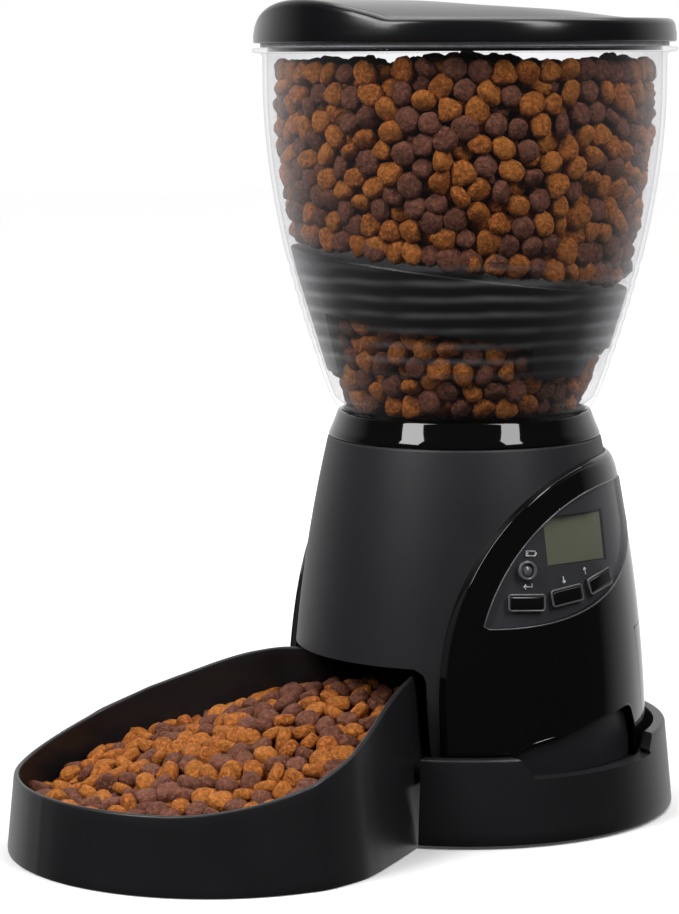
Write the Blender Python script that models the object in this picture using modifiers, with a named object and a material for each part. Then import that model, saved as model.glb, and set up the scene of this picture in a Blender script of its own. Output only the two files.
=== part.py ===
"""Automatic pet feeder: hopper on a tower, base platform and pull-out bowl.

Units are metres, +Z up, the bowl faces -Y and the control panel faces +X.
Tower parts hang from an empty on the hopper's axis, so their own coordinates
are measured from that axis. Run with: blender --background --python part.py
"""
import math

import bmesh
import bpy
from mathutils import Matrix, Vector

# ---------------------------------------------------------------- driving dimensions
GAP = 0.0003                     # clearance left between touching pieces
SEGMENTS = 40                    # sides of the large round pieces
SMALL_SEGMENTS = 16              # sides of the small round pieces

BASE_RADIUS = 0.108              # platform skirt at the floor
BASE_TOP_RADIUS = 0.104
BASE_TOP = 0.044                 # top of the platform's rim
DECK_TOP = 0.031                 # floor of the well inside the rim
WELL_RADIUS = 0.098
FOOT_HEIGHT = 0.0015

BOWL_ROUND = 0.1045              # radius of the bowl's round front
BOWL_ROUND_Y = -0.153            # centre of that round, from the hopper's axis
BOWL_TIP = BOWL_ROUND - BOWL_ROUND_Y
BOWL_WALL = 0.0028
BOWL_LEAN = 0.10                 # how far the walls lean in, per unit of height
BOWL_FRONT_HEIGHT = 0.038
BOWL_BACK_HEIGHT = 0.081
RIM_START = -0.232               # where the bowl's rim begins to climb, from the hopper's axis
RIM_RUN = 0.147
RIM_POWER = 1.6
RIM_TURN = 0.85                  # share of the climb after which the rim levels out
RIM_EASE = 0.27
AXIS_Y = (BOWL_TIP - BASE_RADIUS) / 2

TOWER_WALL = 0.0025
TOWER_FOOT_RADIUS = 0.090
TOWER_TAPER = 0.020              # how much narrower the tower is at its top
TOWER_TOP = 0.192
SKIN_PROUD = 0.0044              # the glossy cover stands proud of the tower
SKIN_TOP = 0.184
COLLAR_TOP = 0.205

HOPPER_WALL = 0.0022
HOPPER_RADIUS = 0.1023
HOPPER_BELLY = 0.370             # above this height the hopper is straight
HOPPER_RIM = 0.389
LID_RADIUS = 0.107
LID_BOTTOM = 0.3915
LID_EDGE = 0.4015
LID_CROWN = 0.0095               # rise of the vault above the lid's edge
VAULT_HALF_WIDTH = 0.054
VAULT_LENGTH = 0.082             # the vault sinks to nothing this far behind the axis
SCOOP_DEPTH = 0.0055
SCOOP_SIZE = (0.022, 0.030)
PLUG_BOTTOM = 0.3872

ARCH_CENTRE = (0.045, 0.055)     # (y, z) centre of the cover's sweeping edge
ARCH_SIZE = (0.109, 0.129)
ARCH_POWER = 2.35
WINDOW_SIZE = (0.099, 0.117)     # the window's upper edge, about the same centre
WINDOW_LOWER = (-0.038, 0.158, 0.100, 0.0525)   # ellipse centre y, z and half sizes
WINDOW_BACK_Y = 0.060

PANEL_ANGLE = 92.0               # direction that the display faces, from the front
PANEL_TILT = 9.5
PANEL_HEIGHT = 0.1465
BOARD_DISTANCE = 0.0655
LCD_DISTANCE = 0.0770
LCD_SHIFT = 0.0055               # the display sits towards the back of the panel
BUTTON_TRAVEL = 0.0010
SWITCH_HEIGHT = 0.0018
BUTTON_SIZE = (0.0175, 0.0066)
BUTTONS = {                      # direction, height and roll of each key
    "enter_button": (72.5, 0.1175, -3.0),
    "down_button": (87.5, 0.1193, 6.0),
    "up_button": (103.0, 0.1237, 12.0),
}
LED_ANGLE = 73.1
LED_HEIGHT = 0.1331

DRUM_FLOOR = 0.156
DRUM_TOP = 0.1890
GEAR_MODULE = 0.0009
GEAR_TEETH = 32
PINION_TEETH = 12
GEAR_CENTRES = GEAR_MODULE * (GEAR_TEETH + PINION_TEETH) / 2 + 0.00015
CELL_RADIUS = 0.0131
CELL_HEIGHT = 0.0492
CELL_BOTTOM = 0.0475
CELLS = ((-0.029, 0.050), (0.0, 0.056), (0.029, 0.050))
DOOR_HALF_WIDTH = 0.074
DOOR_BOTTOM = 0.048
DOOR_TOP = 0.096

# ---------------------------------------------------------------- scene and helpers
for old in list(bpy.data.objects):
    bpy.data.objects.remove(old, do_unlink=True)

PARTS = bpy.data.collections.new("automatic_pet_feeder")
CUTTERS = bpy.data.collections.new("cutters")
for group in (PARTS, CUTTERS):
    bpy.context.scene.collection.children.link(group)

AXIS = bpy.data.objects.new("feeder_axis", None)
AXIS.location = (0, AXIS_Y, 0)
PARTS.objects.link(AXIS)


def material(name, colour, roughness, metallic=0.0, alpha=1.0):
    """A Principled material."""
    mat = bpy.data.materials.new(name)
    mat.use_nodes = True
    shader = mat.node_tree.nodes["Principled BSDF"]
    shader.inputs["Base Color"].default_value = (*colour, 1)
    shader.inputs["Roughness"].default_value = roughness
    shader.inputs["Metallic"].default_value = metallic
    shader.inputs["Alpha"].default_value = alpha
    return mat


def place(obj, mat=None, at=(0, 0, 0), collection=PARTS):
    """Hang an object from the feeder's axis, in its collection."""
    collection.objects.link(obj)
    obj.parent = AXIS
    obj.location = at
    if mat is not None:
        obj.data.materials.append(mat)
        obj.data.shade_smooth()
        obj.data.set_sharp_from_angle(angle=math.radians(35))
    return obj


def as_cutter(obj):
    """Keep a cutting shape out of the model."""
    obj.hide_render = True
    obj.display_type = 'WIRE'
    return obj


def lathe(name, profile, mat=None, at=(0, 0, 0), segments=SEGMENTS, turn=0.0):
    """Turn a closed (radius, height) outline, listed down its outer side first."""
    mesh = bpy.data.meshes.new(name)
    points = [(radius, 0, height) for radius, height in profile]
    last = len(points)
    on_axis = profile[0][0] == 0 and profile[-1][0] == 0
    edges = [(i, (i + 1) % last) for i in range(last - 1 if on_axis else last)]
    mesh.from_pydata(points, edges, [])
    obj = bpy.data.objects.new(name, mesh)
    screw = obj.modifiers.new("turn", 'SCREW')
    screw.axis = 'Z'
    screw.steps = segments
    screw.render_steps = segments
    screw.use_merge_vertices = True
    screw.merge_threshold = 0.00001
    screw.use_smooth_shade = mat is not None
    obj.rotation_euler.z = turn
    if mat is None:
        return as_cutter(place(obj, at=at, collection=CUTTERS))
    return place(obj, mat, at)


def prism(name, outline, low, high, axis='Z', mat=None, at=(0, 0, 0)):
    """Extrude a closed outline from low to high along an axis.

    The outline is (x, y) along Z, (y, z) along X and (x, z) along Y.
    """
    curve = bpy.data.curves.new(name, 'CURVE')
    curve.dimensions = '2D'
    curve.fill_mode = 'BOTH'
    curve.extrude = (high - low) / 2
    spline = curve.splines.new('POLY')
    spline.points.add(len(outline) - 1)
    for point, (u, v) in zip(spline.points, outline):
        point.co = (u, v, 0, 1)
    spline.use_cyclic_u = True
    source = bpy.data.objects.new(name + "_outline", curve)
    CUTTERS.objects.link(source)
    graph = bpy.context.evaluated_depsgraph_get()
    mesh = bpy.data.meshes.new_from_object(source.evaluated_get(graph))
    mesh.name = name
    bpy.data.objects.remove(source)
    mesh.transform(Matrix.Translation((0, 0, (low + high) / 2)))
    if axis == 'X':
        mesh.transform(Matrix(((0, 0, 1, 0), (1, 0, 0, 0), (0, 1, 0, 0), (0, 0, 0, 1))))
    if axis == 'Y':
        mesh.transform(Matrix(((1, 0, 0, 0), (0, 0, 1, 0), (0, 1, 0, 0), (0, 0, 0, 1))))
    work = bmesh.new()
    work.from_mesh(mesh)
    bmesh.ops.remove_doubles(work, verts=work.verts, dist=0.00001)
    bmesh.ops.recalc_face_normals(work, faces=work.faces)
    work.to_mesh(mesh)
    work.free()
    obj = bpy.data.objects.new(name, mesh)
    if mat is None:
        return as_cutter(place(obj, at=at, collection=CUTTERS))
    return place(obj, mat, at)


def block(name, low, high, mat=None, at=(0, 0, 0), bevel=0.0):
    """A box between two corners, with optional rounded edges."""
    mesh = bpy.data.meshes.new(name)
    work = bmesh.new()
    bmesh.ops.create_cube(work, size=1)
    size = [b - a for a, b in zip(low, high)]
    centre = [(a + b) / 2 for a, b in zip(low, high)]
    bmesh.ops.scale(work, vec=size, verts=work.verts)
    bmesh.ops.translate(work, vec=centre, verts=work.verts)
    work.to_mesh(mesh)
    work.free()
    obj = bpy.data.objects.new(name, mesh)
    if bevel:
        rounding = obj.modifiers.new("rounding", 'BEVEL')
        rounding.width = bevel
        rounding.segments = 2
    if mat is None:
        return as_cutter(place(obj, at=at, collection=CUTTERS))
    return place(obj, mat, at)


def stacked(name, rings, mat, closed=False):
    """A skin over a stack of equal rings: capped at both ends, or closed on itself."""
    mesh = bpy.data.meshes.new(name)
    work = bmesh.new()
    rows = [[work.verts.new(point) for point in ring] for ring in rings]
    count = len(rows[0])
    pairs = list(zip(rows, rows[1:]))
    if closed:
        pairs.append((rows[-1], rows[0]))
    for lower, upper in pairs:
        for i in range(count):
            j = (i + 1) % count
            work.faces.new((lower[i], lower[j], upper[j], upper[i]))
    if not closed:
        work.faces.new(rows[0])
        work.faces.new(rows[-1])
    bmesh.ops.recalc_face_normals(work, faces=work.faces)
    work.to_mesh(mesh)
    work.free()
    return place(bpy.data.objects.new(name, mesh), mat)


def combine(target, tool, operation='DIFFERENCE'):
    """Cut, join or keep the common part with a Boolean."""
    boolean = target.modifiers.new(operation.lower() + " " + tool.name, 'BOOLEAN')
    boolean.operation = operation
    boolean.solver = 'EXACT'
    boolean.object = tool
    return target


def ring(radius, height, count=SEGMENTS):
    """Points of a level circle about the axis."""
    turn = 2 * math.pi / count
    return [(radius * math.cos(i * turn), radius * math.sin(i * turn), height)
            for i in range(count)]


def toward(angle, radius):
    """Plan position at an angle from the front (0) towards the panel side (90)."""
    bearing = math.radians(angle)
    return radius * math.sin(bearing), -radius * math.cos(bearing)


def tower_radius(height):
    """Outer radius of the tower, a parabola that narrows upwards."""
    rise = (height - 0.020) / (TOWER_TOP - 0.020)
    return TOWER_FOOT_RADIUS - TOWER_TAPER * rise ** 2


def hopper_radius(height):
    """Outer radius of the hopper's bell above its shoulder."""
    drop = max(0.0, (HOPPER_BELLY - height) / 0.165)
    return HOPPER_RADIUS - 0.0363 * drop ** 1.8


def spaced(start, end, steps):
    """Evenly spaced values, both ends included."""
    return [start + (end - start) * i / steps for i in range(steps + 1)]


# ---------------------------------------------------------------- materials
MATTE_BLACK = material("matte_black", (0.018, 0.018, 0.020), 0.55)
SATIN_BLACK = material("satin_black", (0.016, 0.016, 0.017), 0.35)
GLOSS_BLACK = material("gloss_black", (0.006, 0.006, 0.007), 0.08)
CLEAR = material("clear_plastic", (0.90, 0.92, 0.93), 0.05, 0.0, 0.25)
SMOKE = material("smoked_window", (0.10, 0.10, 0.11), 0.06, 0.0, 0.6)
DISPLAY = material("lcd_glass", (0.30, 0.31, 0.24), 0.25)
LIGHT_PIPE = material("light_pipe", (0.55, 0.56, 0.58), 0.15)
BOARD = material("circuit_board", (0.02, 0.13, 0.05), 0.45)
STEEL = material("steel", (0.62, 0.62, 0.64), 0.28, 1.0)
RUBBER = material("rubber", (0.03, 0.03, 0.03), 0.85)
NYLON = material("nylon", (0.80, 0.79, 0.74), 0.45)
CELL_WRAP = material("cell_wrap", (0.30, 0.18, 0.05), 0.30, 0.3)


# ---------------------------------------------------------------- bowl
def bowl_outline(inset=0.0):
    """Half plan of the bowl, from the tip round to the back, x >= 0."""
    points = []
    for angle in spaced(0, 86, 12):
        x, y = toward(angle, BOWL_ROUND - inset)
        points.append((x, BOWL_ROUND_Y + y))
    for x, y in ((0.1005, -0.1390), (0.0945, -0.1255), (0.0880, -0.1140),
                 (0.0800, -0.1005), (0.0735, -0.0900), (0.0690, -0.0831),
                 (0.0615, -0.0715), (0.0530, -0.0610)):
        points.append((x - inset, y))
    points.append((0.0500 - inset, -0.030))
    points.append((0.0440 - inset, -0.021 - inset / 2))
    return points


def both_sides(half):
    """Mirror a half plan to make a closed outline."""
    return half + [(-x, y) for x, y in reversed(half[1:])]


def bowl_rim_height(y):
    """The rim is low in front, climbs towards the tower and levels out there."""
    run = max(0.0, (y - RIM_START) / RIM_RUN)
    if run < RIM_TURN:
        climb = run ** RIM_POWER
    else:
        t = min(1.0, (run - RIM_TURN) / RIM_EASE)
        slope = RIM_POWER * RIM_TURN ** (RIM_POWER - 1) * RIM_EASE
        climb = (1 + 2 * t) * (1 - t) ** 2 * RIM_TURN ** RIM_POWER + t * (1 - t) ** 2 * slope + t * t * (3 - 2 * t)
    return BOWL_FRONT_HEIGHT + (BOWL_BACK_HEIGHT - BOWL_FRONT_HEIGHT) * climb


def bowl_ring(inset, height=None):
    """A ring of the bowl's leaning wall, level at a height or following the rim."""
    points = []
    for index, (_, y) in enumerate(both_sides(bowl_outline())):
        z = bowl_rim_height(y) if height is None else height
        u, v = both_sides(bowl_outline(inset + BOWL_LEAN * z))[index]
        points.append((u, v, z))
    return points


def build_bowl():
    """Open bowl: one wall thickness all round, floor just above the ground."""
    rings = [
        bowl_ring(0.0, 0.0),
        bowl_ring(0.0),
        bowl_ring(BOWL_WALL),
        bowl_ring(BOWL_WALL, 0.008),
        bowl_ring(BOWL_WALL + 0.005, 0.0035),
    ]
    stacked("bowl", rings, SATIN_BLACK)


# ---------------------------------------------------------------- platform, feet and screws
FOOT_PLACES = [toward(angle, 0.086) for angle in (62, 135, 225, 298)]
SCREW_PLACES = [toward(angle, 0.0815) for angle in (75, 125, 235, 285)]


def build_platform():
    """Skirted platform: rim, well and deck, foot bosses and a bay for the bowl."""
    wall = 0.0026
    boss_bottom = 0.0026
    profile = [
        (0, DECK_TOP),
        (WELL_RADIUS, DECK_TOP),
        (WELL_RADIUS, BASE_TOP),
        (BASE_TOP_RADIUS - 0.0025, BASE_TOP),
        (BASE_TOP_RADIUS - 0.0008, BASE_TOP - 0.0007),
        (BASE_TOP_RADIUS + 0.0003, BASE_TOP - 0.003),
        (BASE_RADIUS, FOOT_HEIGHT),
        (BASE_RADIUS - wall, FOOT_HEIGHT),
        (BASE_TOP_RADIUS - wall, DECK_TOP - wall),
        (0, DECK_TOP - wall),
    ]
    platform = lathe("base_platform", profile, SATIN_BLACK)
    for number, (x, y) in enumerate(FOOT_PLACES, 1):
        boss = [(0, DECK_TOP - 0.001), (0.008, DECK_TOP - 0.001), (0.008, boss_bottom), (0, boss_bottom)]
        tool = lathe(f"foot_boss_{number}", boss, at=(x, y, 0), segments=12)
        combine(platform, tool, 'UNION')
        foot = [(0, boss_bottom - GAP), (0.0085, boss_bottom - GAP), (0.0080, 0.0), (0, 0.0)]
        lathe(f"rubber_foot_{number}", foot, RUBBER, at=(x, y, 0), segments=16)
    for number, (x, y) in enumerate(SCREW_PLACES, 1):
        hole = [(0, 0.05), (0.0022, 0.05), (0.0022, 0.02), (0, 0.02)]
        combine(platform, lathe(f"screw_hole_{number}", hole, at=(x, y, 0), segments=12))
    combine(platform, prism("bowl_bay", both_sides(bowl_outline(-0.0006)), -0.01, 0.06))
    notch = [(-0.0420, 0.050), (-0.0395, BASE_TOP - 0.001), (-0.0340, 0.0350), (-0.0300, 0.0335),
             (0.0400, 0.0340), (0.0450, 0.0365), (0.0500, BASE_TOP), (0.0510, 0.050)]
    combine(platform, prism("grip_notch_panel_side", notch, 0.080, 0.120, 'X'))
    combine(platform, prism("grip_notch_plain_side", notch, -0.120, -0.080, 'X'))


def build_screws():
    """Pan-head screws up through the deck into the tower's bosses."""
    under = DECK_TOP - 0.0026 - GAP
    profile = [
        (0, 0.045),
        (0.0013, 0.045),
        (0.0018, 0.0435),
        (0.0018, under),
        (0.0035, under),
        (0.0030, under - 0.0020),
        (0, under - 0.0022),
    ]
    for number, (x, y) in enumerate(SCREW_PLACES, 1):
        lathe(f"base_screw_{number}", profile, STEEL, at=(x, y, 0), segments=12)


# ---------------------------------------------------------------- tower and its cover
def arch_outline(size, inset=0.0):
    """Side view of the cover: a superellipse sweep in front, square behind."""
    centre_y, centre_z = ARCH_CENTRE
    half_y, half_z = size[0] - inset, size[1] - inset
    points = [(centre_y - half_y, DECK_TOP + GAP)]
    for turn in spaced(0, 90, 14):
        bearing = math.radians(turn)
        y = centre_y - half_y * math.cos(bearing) ** (2 / ARCH_POWER)
        z = centre_z + half_z * math.sin(bearing) ** (2 / ARCH_POWER)
        points.append((y, z))
    points.append((0.120, centre_z + half_z))
    points.append((0.120, DECK_TOP + GAP))
    return points


def window_outline(inset=0.0):
    """Leaf shape of the control window, seen from the side."""
    centre_y, centre_z = ARCH_CENTRE
    half_y, half_z = WINDOW_SIZE[0] - inset, WINDOW_SIZE[1] - inset
    low_y, low_z, low_half_y, low_half_z = WINDOW_LOWER
    tip_y = -0.0475 + inset * 1.6
    back_y = WINDOW_BACK_Y - inset
    points = []
    for y in spaced(tip_y, centre_y, 12):
        reach = min(1.0, max(0.0, (centre_y - y) / half_y))
        points.append((y, centre_z + half_z * (1 - reach ** ARCH_POWER) ** (1 / ARCH_POWER)))
    points.append((back_y - 0.003, centre_z + half_z - 0.0003))
    points.append((back_y, centre_z + half_z - 0.0035))
    for y in spaced(back_y, tip_y + 0.002, 12):
        reach = min(1.0, abs(y - low_y) / (low_half_y - inset))
        points.append((y, low_z - (low_half_z - inset) * math.sqrt(1 - reach ** 2)))
    return points


def sloped_shell(name, outer, inner, heights, mat, shoulder=0.0):
    """A shell of the tower's form, between two offsets from its surface."""
    profile = [(tower_radius(z) + outer, z) for z in reversed(heights)]
    if shoulder:
        top = heights[-1]
        profile = [(tower_radius(top + shoulder) + inner + 0.0006, top + shoulder),
                   (tower_radius(top + shoulder) + outer * 0.55, top + shoulder * 0.85)] + profile
        profile += [(tower_radius(z) + inner, z) for z in heights]
        profile.append((tower_radius(top + shoulder) + inner, top + shoulder - 0.0004))
        return lathe(name, profile, mat)
    profile += [(tower_radius(z) + inner, z) for z in heights]
    return lathe(name, profile, mat)


def build_tower():
    """Matte inner tower: the front shield, the top flange and the screw bosses."""
    heights = spaced(DECK_TOP + GAP, TOWER_TOP, 6)
    flange = 0.0028
    profile = [(tower_radius(z), z) for z in reversed(heights)]
    inner = [(tower_radius(z) - TOWER_WALL, z) for z in heights[:-1]]
    inner.append((tower_radius(TOWER_TOP) - TOWER_WALL, TOWER_TOP - flange))
    profile = [(0.058, TOWER_TOP)] + profile + inner + [(0.058, TOWER_TOP - flange)]
    tower = lathe("tower_shell", profile, MATTE_BLACK)
    for number, (x, y) in enumerate(SCREW_PLACES, 1):
        boss = [(0, 0.052), (0.0050, 0.052), (0.0055, DECK_TOP + GAP), (0, DECK_TOP + GAP)]
        tool = lathe(f"screw_boss_{number}", boss, at=(x * 1.02, y * 1.02, 0), segments=12)
        combine(tower, tool, 'UNION')
        hole = [(0, 0.048), (0.0021, 0.048), (0.0021, 0.020), (0, 0.020)]
        combine(tower, lathe(f"boss_hole_{number}", hole, at=(x, y, 0), segments=12))
    mouth = [(-0.0625, 0.030), (0.0625, 0.030), (0.0592, 0.045), (0.0560, 0.0790), (0.0545, 0.0825),
             (0.0505, 0.0850), (-0.0505, 0.0850), (-0.0545, 0.0825), (-0.0560, 0.0790), (-0.0592, 0.045)]
    combine(tower, prism("bowl_mouth", mouth, -0.110, -0.030, 'Y'))
    combine(tower, prism("panel_opening", window_outline(0.0045), 0.040, 0.110, 'X'))
    hatch = [(-0.0440, 0.0465), (0.0440, 0.0465), (0.0440, 0.0940), (-0.0440, 0.0940)]
    combine(tower, prism("battery_hatch", hatch, 0.060, 0.110, 'Y'))


def build_side_cover():
    """Glossy cover that wraps the sides and back, with the sweeping front edge."""
    heights = [DECK_TOP + GAP] + spaced(0.060, 0.174, 5)
    cover = sloped_shell("side_cover", SKIN_PROUD, GAP, heights, GLOSS_BLACK, shoulder=0.0098)
    combine(cover, prism("cover_sweep", arch_outline(ARCH_SIZE), -0.120, 0.120, 'X'), 'INTERSECT')
    grip = [(-0.0365, 0.030), (-0.0350, 0.0420), (-0.0310, 0.0465), (-0.0230, 0.0492), (-0.0110, 0.0515),
            (0.0060, 0.0555), (0.0270, 0.0585), (0.0360, 0.0595), (0.0400, 0.0585), (0.0425, 0.0555),
            (0.0465, 0.0450), (0.0475, 0.030)]
    combine(cover, prism("grip_arch_panel_side", grip, 0.060, 0.120, 'X'))
    combine(cover, prism("grip_arch_plain_side", grip, -0.120, -0.060, 'X'))
    combine(cover, prism("window_opening", window_outline(), 0.030, 0.120, 'X'))
    hatch = [(-DOOR_HALF_WIDTH, DOOR_BOTTOM), (DOOR_HALF_WIDTH, DOOR_BOTTOM),
             (DOOR_HALF_WIDTH, DOOR_TOP), (-DOOR_HALF_WIDTH, DOOR_TOP)]
    combine(cover, prism("door_opening", hatch, 0.030, 0.120, 'Y'))


def build_battery_door():
    """Curved door at the back, flush with the cover, with a finger pull."""
    heights = spaced(DOOR_BOTTOM - 0.004, DOOR_TOP + 0.004, 4)
    door = sloped_shell("battery_door", SKIN_PROUD, 0.0016, heights, GLOSS_BLACK)
    half = DOOR_HALF_WIDTH - GAP
    outline = [(-half, DOOR_BOTTOM + GAP), (half, DOOR_BOTTOM + GAP),
               (half, DOOR_TOP - GAP), (-half, DOOR_TOP - GAP)]
    combine(door, prism("door_edge", outline, 0.030, 0.120, 'Y'), 'INTERSECT')
    pull = [(0, 0.0085), (0.0110, 0.0085), (0.0110, -0.0085), (0, -0.0085)]
    scoop = lathe("door_pull", pull, at=(0, tower_radius(0.086) + 0.0138, 0.0895), segments=16)
    combine(door, scoop)


# ---------------------------------------------------------------- control panel
def outward(angle, height, roll=0.0):
    """Frame on the tower's side: X across, Y up the slope, Z straight out."""
    bearing = math.radians(angle)
    out = Vector((math.sin(bearing), -math.cos(bearing), 0))
    slope = math.radians(PANEL_TILT)
    normal = out * math.cos(slope) + Vector((0, 0, math.sin(slope)))
    up = Vector((0, 0, math.cos(slope))) - out * math.sin(slope)
    across = up.cross(normal)
    frame = Matrix((across, up, normal)).transposed().to_4x4()
    place_at = out * tower_radius(height)
    return Matrix.Translation((place_at.x, place_at.y, height)) @ frame @ Matrix.Rotation(
        math.radians(roll), 4, 'Z')


def fitted(name, low, high, frame, mat=None, bevel=0.0):
    """A box given in a frame on the tower's side."""
    obj = block(name, low, high, mat, bevel=bevel)
    obj.matrix_basis = frame
    return obj


def round_fitted(name, profile, frame, mat=None, segments=SMALL_SEGMENTS):
    """A turned piece given in a frame on the tower's side."""
    obj = lathe(name, profile, mat, segments=segments)
    obj.matrix_basis = frame
    return obj


def build_control_panel():
    """Window, bezel, display, indicator, circuit board, switches and keys."""
    heights = spaced(0.100, 0.176, 5)
    window = sloped_shell("control_window", SKIN_PROUD + 0.0003, 0.0026, heights, SMOKE)
    combine(window, prism("window_edge", window_outline(GAP), 0.030, 0.120, 'X'), 'INTERSECT')
    bezel = sloped_shell("control_bezel", 0.0023, 0.0009, heights, MATTE_BLACK)
    combine(bezel, prism("bezel_edge", window_outline(0.0008), 0.030, 0.120, 'X'), 'INTERSECT')

    panel = outward(PANEL_ANGLE, PANEL_HEIGHT)
    face = LCD_DISTANCE - tower_radius(PANEL_HEIGHT)
    board = BOARD_DISTANCE - tower_radius(PANEL_HEIGHT)
    left, right = LCD_SHIFT - 0.0200, LCD_SHIFT + 0.0200
    fitted("lcd_display", (left, -0.0120, board + GAP), (right, 0.0120, face), panel, DISPLAY, bevel=0.0004)
    opening = fitted("lcd_opening", (left - GAP, -0.0123, board), (right + GAP, 0.0123, 0.010), panel)
    tower = bpy.data.objects["tower_shell"]
    for wall in (bezel, tower):
        combine(wall, opening)
    fitted("circuit_board", (-0.0295, -0.0345, board - 0.0016), (0.0265, 0.0165, board), panel, BOARD)

    lamp = outward(LED_ANGLE, LED_HEIGHT)
    bore = [(0, 0.008), (0.0039, 0.008), (0.0039, -0.006), (0, -0.006)]
    drill = round_fitted("lamp_hole", bore, lamp)
    for wall in (window, bezel, tower):
        combine(wall, drill)
    collar = [(0.0034, 0.0062), (0.0044, 0.0064), (0.0050, 0.0058), (0.0050, 0.0052), (0.0036, 0.0052),
              (0.0036, 0.0012), (0.0034, 0.0012)]
    round_fitted("lamp_ring", collar, lamp, GLOSS_BLACK)
    pipe = [(0, 0.0060), (0.0016, 0.0058), (0.0028, 0.0050), (0.0031, 0.0040), (0.0031, -0.0040), (0, -0.0040)]
    round_fitted("indicator_lamp", pipe, lamp, LIGHT_PIPE)

    half_w, half_h = BUTTON_SIZE[0] / 2, BUTTON_SIZE[1] / 2
    slack = 0.0004
    for name, (angle, height, roll) in BUTTONS.items():
        frame = outward(angle, height, roll)
        top = SKIN_PROUD + 0.0012
        bottom = -0.0038
        fitted(name, (-half_w, -half_h, bottom), (half_w, half_h, top), frame, GLOSS_BLACK, bevel=0.0006)
        hole = fitted(name + "_hole", (-half_w - slack, -half_h - slack, bottom - 0.004),
                      (half_w + slack, half_h + slack, top + 0.004), frame)
        for wall in (window, bezel, tower):
            combine(wall, hole)
        switch_top = bottom - BUTTON_TRAVEL - GAP
        fitted(name.replace("button", "switch"), (-0.0030, -0.0030, switch_top - SWITCH_HEIGHT),
               (0.0030, 0.0030, switch_top), frame, NYLON)


# ---------------------------------------------------------------- collar and metering drive
def build_collar():
    """Glossy ring that carries the hopper's neck."""
    profile = [
        (0.0628, COLLAR_TOP),
        (0.0640, COLLAR_TOP),
        (0.0652, COLLAR_TOP - 0.0012),
        (0.0668, COLLAR_TOP - 0.0050),
        (0.0697, TOWER_TOP + 0.0012),
        (0.0693, TOWER_TOP + GAP),
        (0.0560, TOWER_TOP + GAP),
        (0.0560, TOWER_TOP + 0.0025),
        (0.0628, TOWER_TOP + 0.0025),
    ]
    lathe("collar_ring", profile, GLOSS_BLACK)


def build_drum():
    """Metering drum under the neck: a cup with one outlet over the chute."""
    wall = 0.0020
    profile = [
        (0.0540, DRUM_TOP),
        (0.0640, DRUM_TOP),
        (0.0640, DRUM_TOP - 0.0024),
        (0.0560, DRUM_TOP - 0.0024),
        (0.0560, DRUM_FLOOR),
        (0.0033, DRUM_FLOOR),
        (0.0033, DRUM_FLOOR + wall),
        (0.0540, DRUM_FLOOR + wall),
    ]
    drum = lathe("metering_drum", profile, NYLON, segments=28)
    outlet = [(-0.0210, -0.0495), (0.0210, -0.0495), (0.0210, -0.0250), (-0.0210, -0.0250)]
    combine(drum, prism("drum_outlet", outlet, DRUM_FLOOR - 0.002, DRUM_FLOOR + 0.004))


def build_chute():
    """Sloping duct from the drum's outlet to the bowl, open at both ends."""
    wall = 0.0016
    high, low = DRUM_FLOOR - GAP, 0.0900

    def opening(z, half_width, front, back):
        return [(-half_width, front, z), (half_width, front, z), (half_width, back, z), (-half_width, back, z)]

    rings = [
        opening(high, 0.0225 + wall, -0.0505 - wall, -0.0240 + wall),
        opening(low, 0.0265 + wall, -0.0680 - wall, -0.0400 + wall),
        opening(low, 0.0265, -0.0680, -0.0400),
        opening(high, 0.0225, -0.0505, -0.0240),
    ]
    stacked("chute", rings, NYLON, closed=True)


def gear_outline(teeth, clearance=0.0):
    """Trapezoid teeth, with a little room between flanks."""
    pitch = GEAR_MODULE * teeth / 2
    tip = pitch + GEAR_MODULE * 0.85
    root = pitch - GEAR_MODULE * 1.15
    step = 2 * math.pi / teeth
    points = []
    for tooth in range(teeth):
        middle = tooth * step
        for share, radius in ((-0.36, root), (-0.11, tip), (0.11, tip), (0.36, root)):
            angle = middle + (share - math.copysign(clearance, share)) * step
            points.append((radius * math.cos(angle), radius * math.sin(angle)))
    return points


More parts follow.
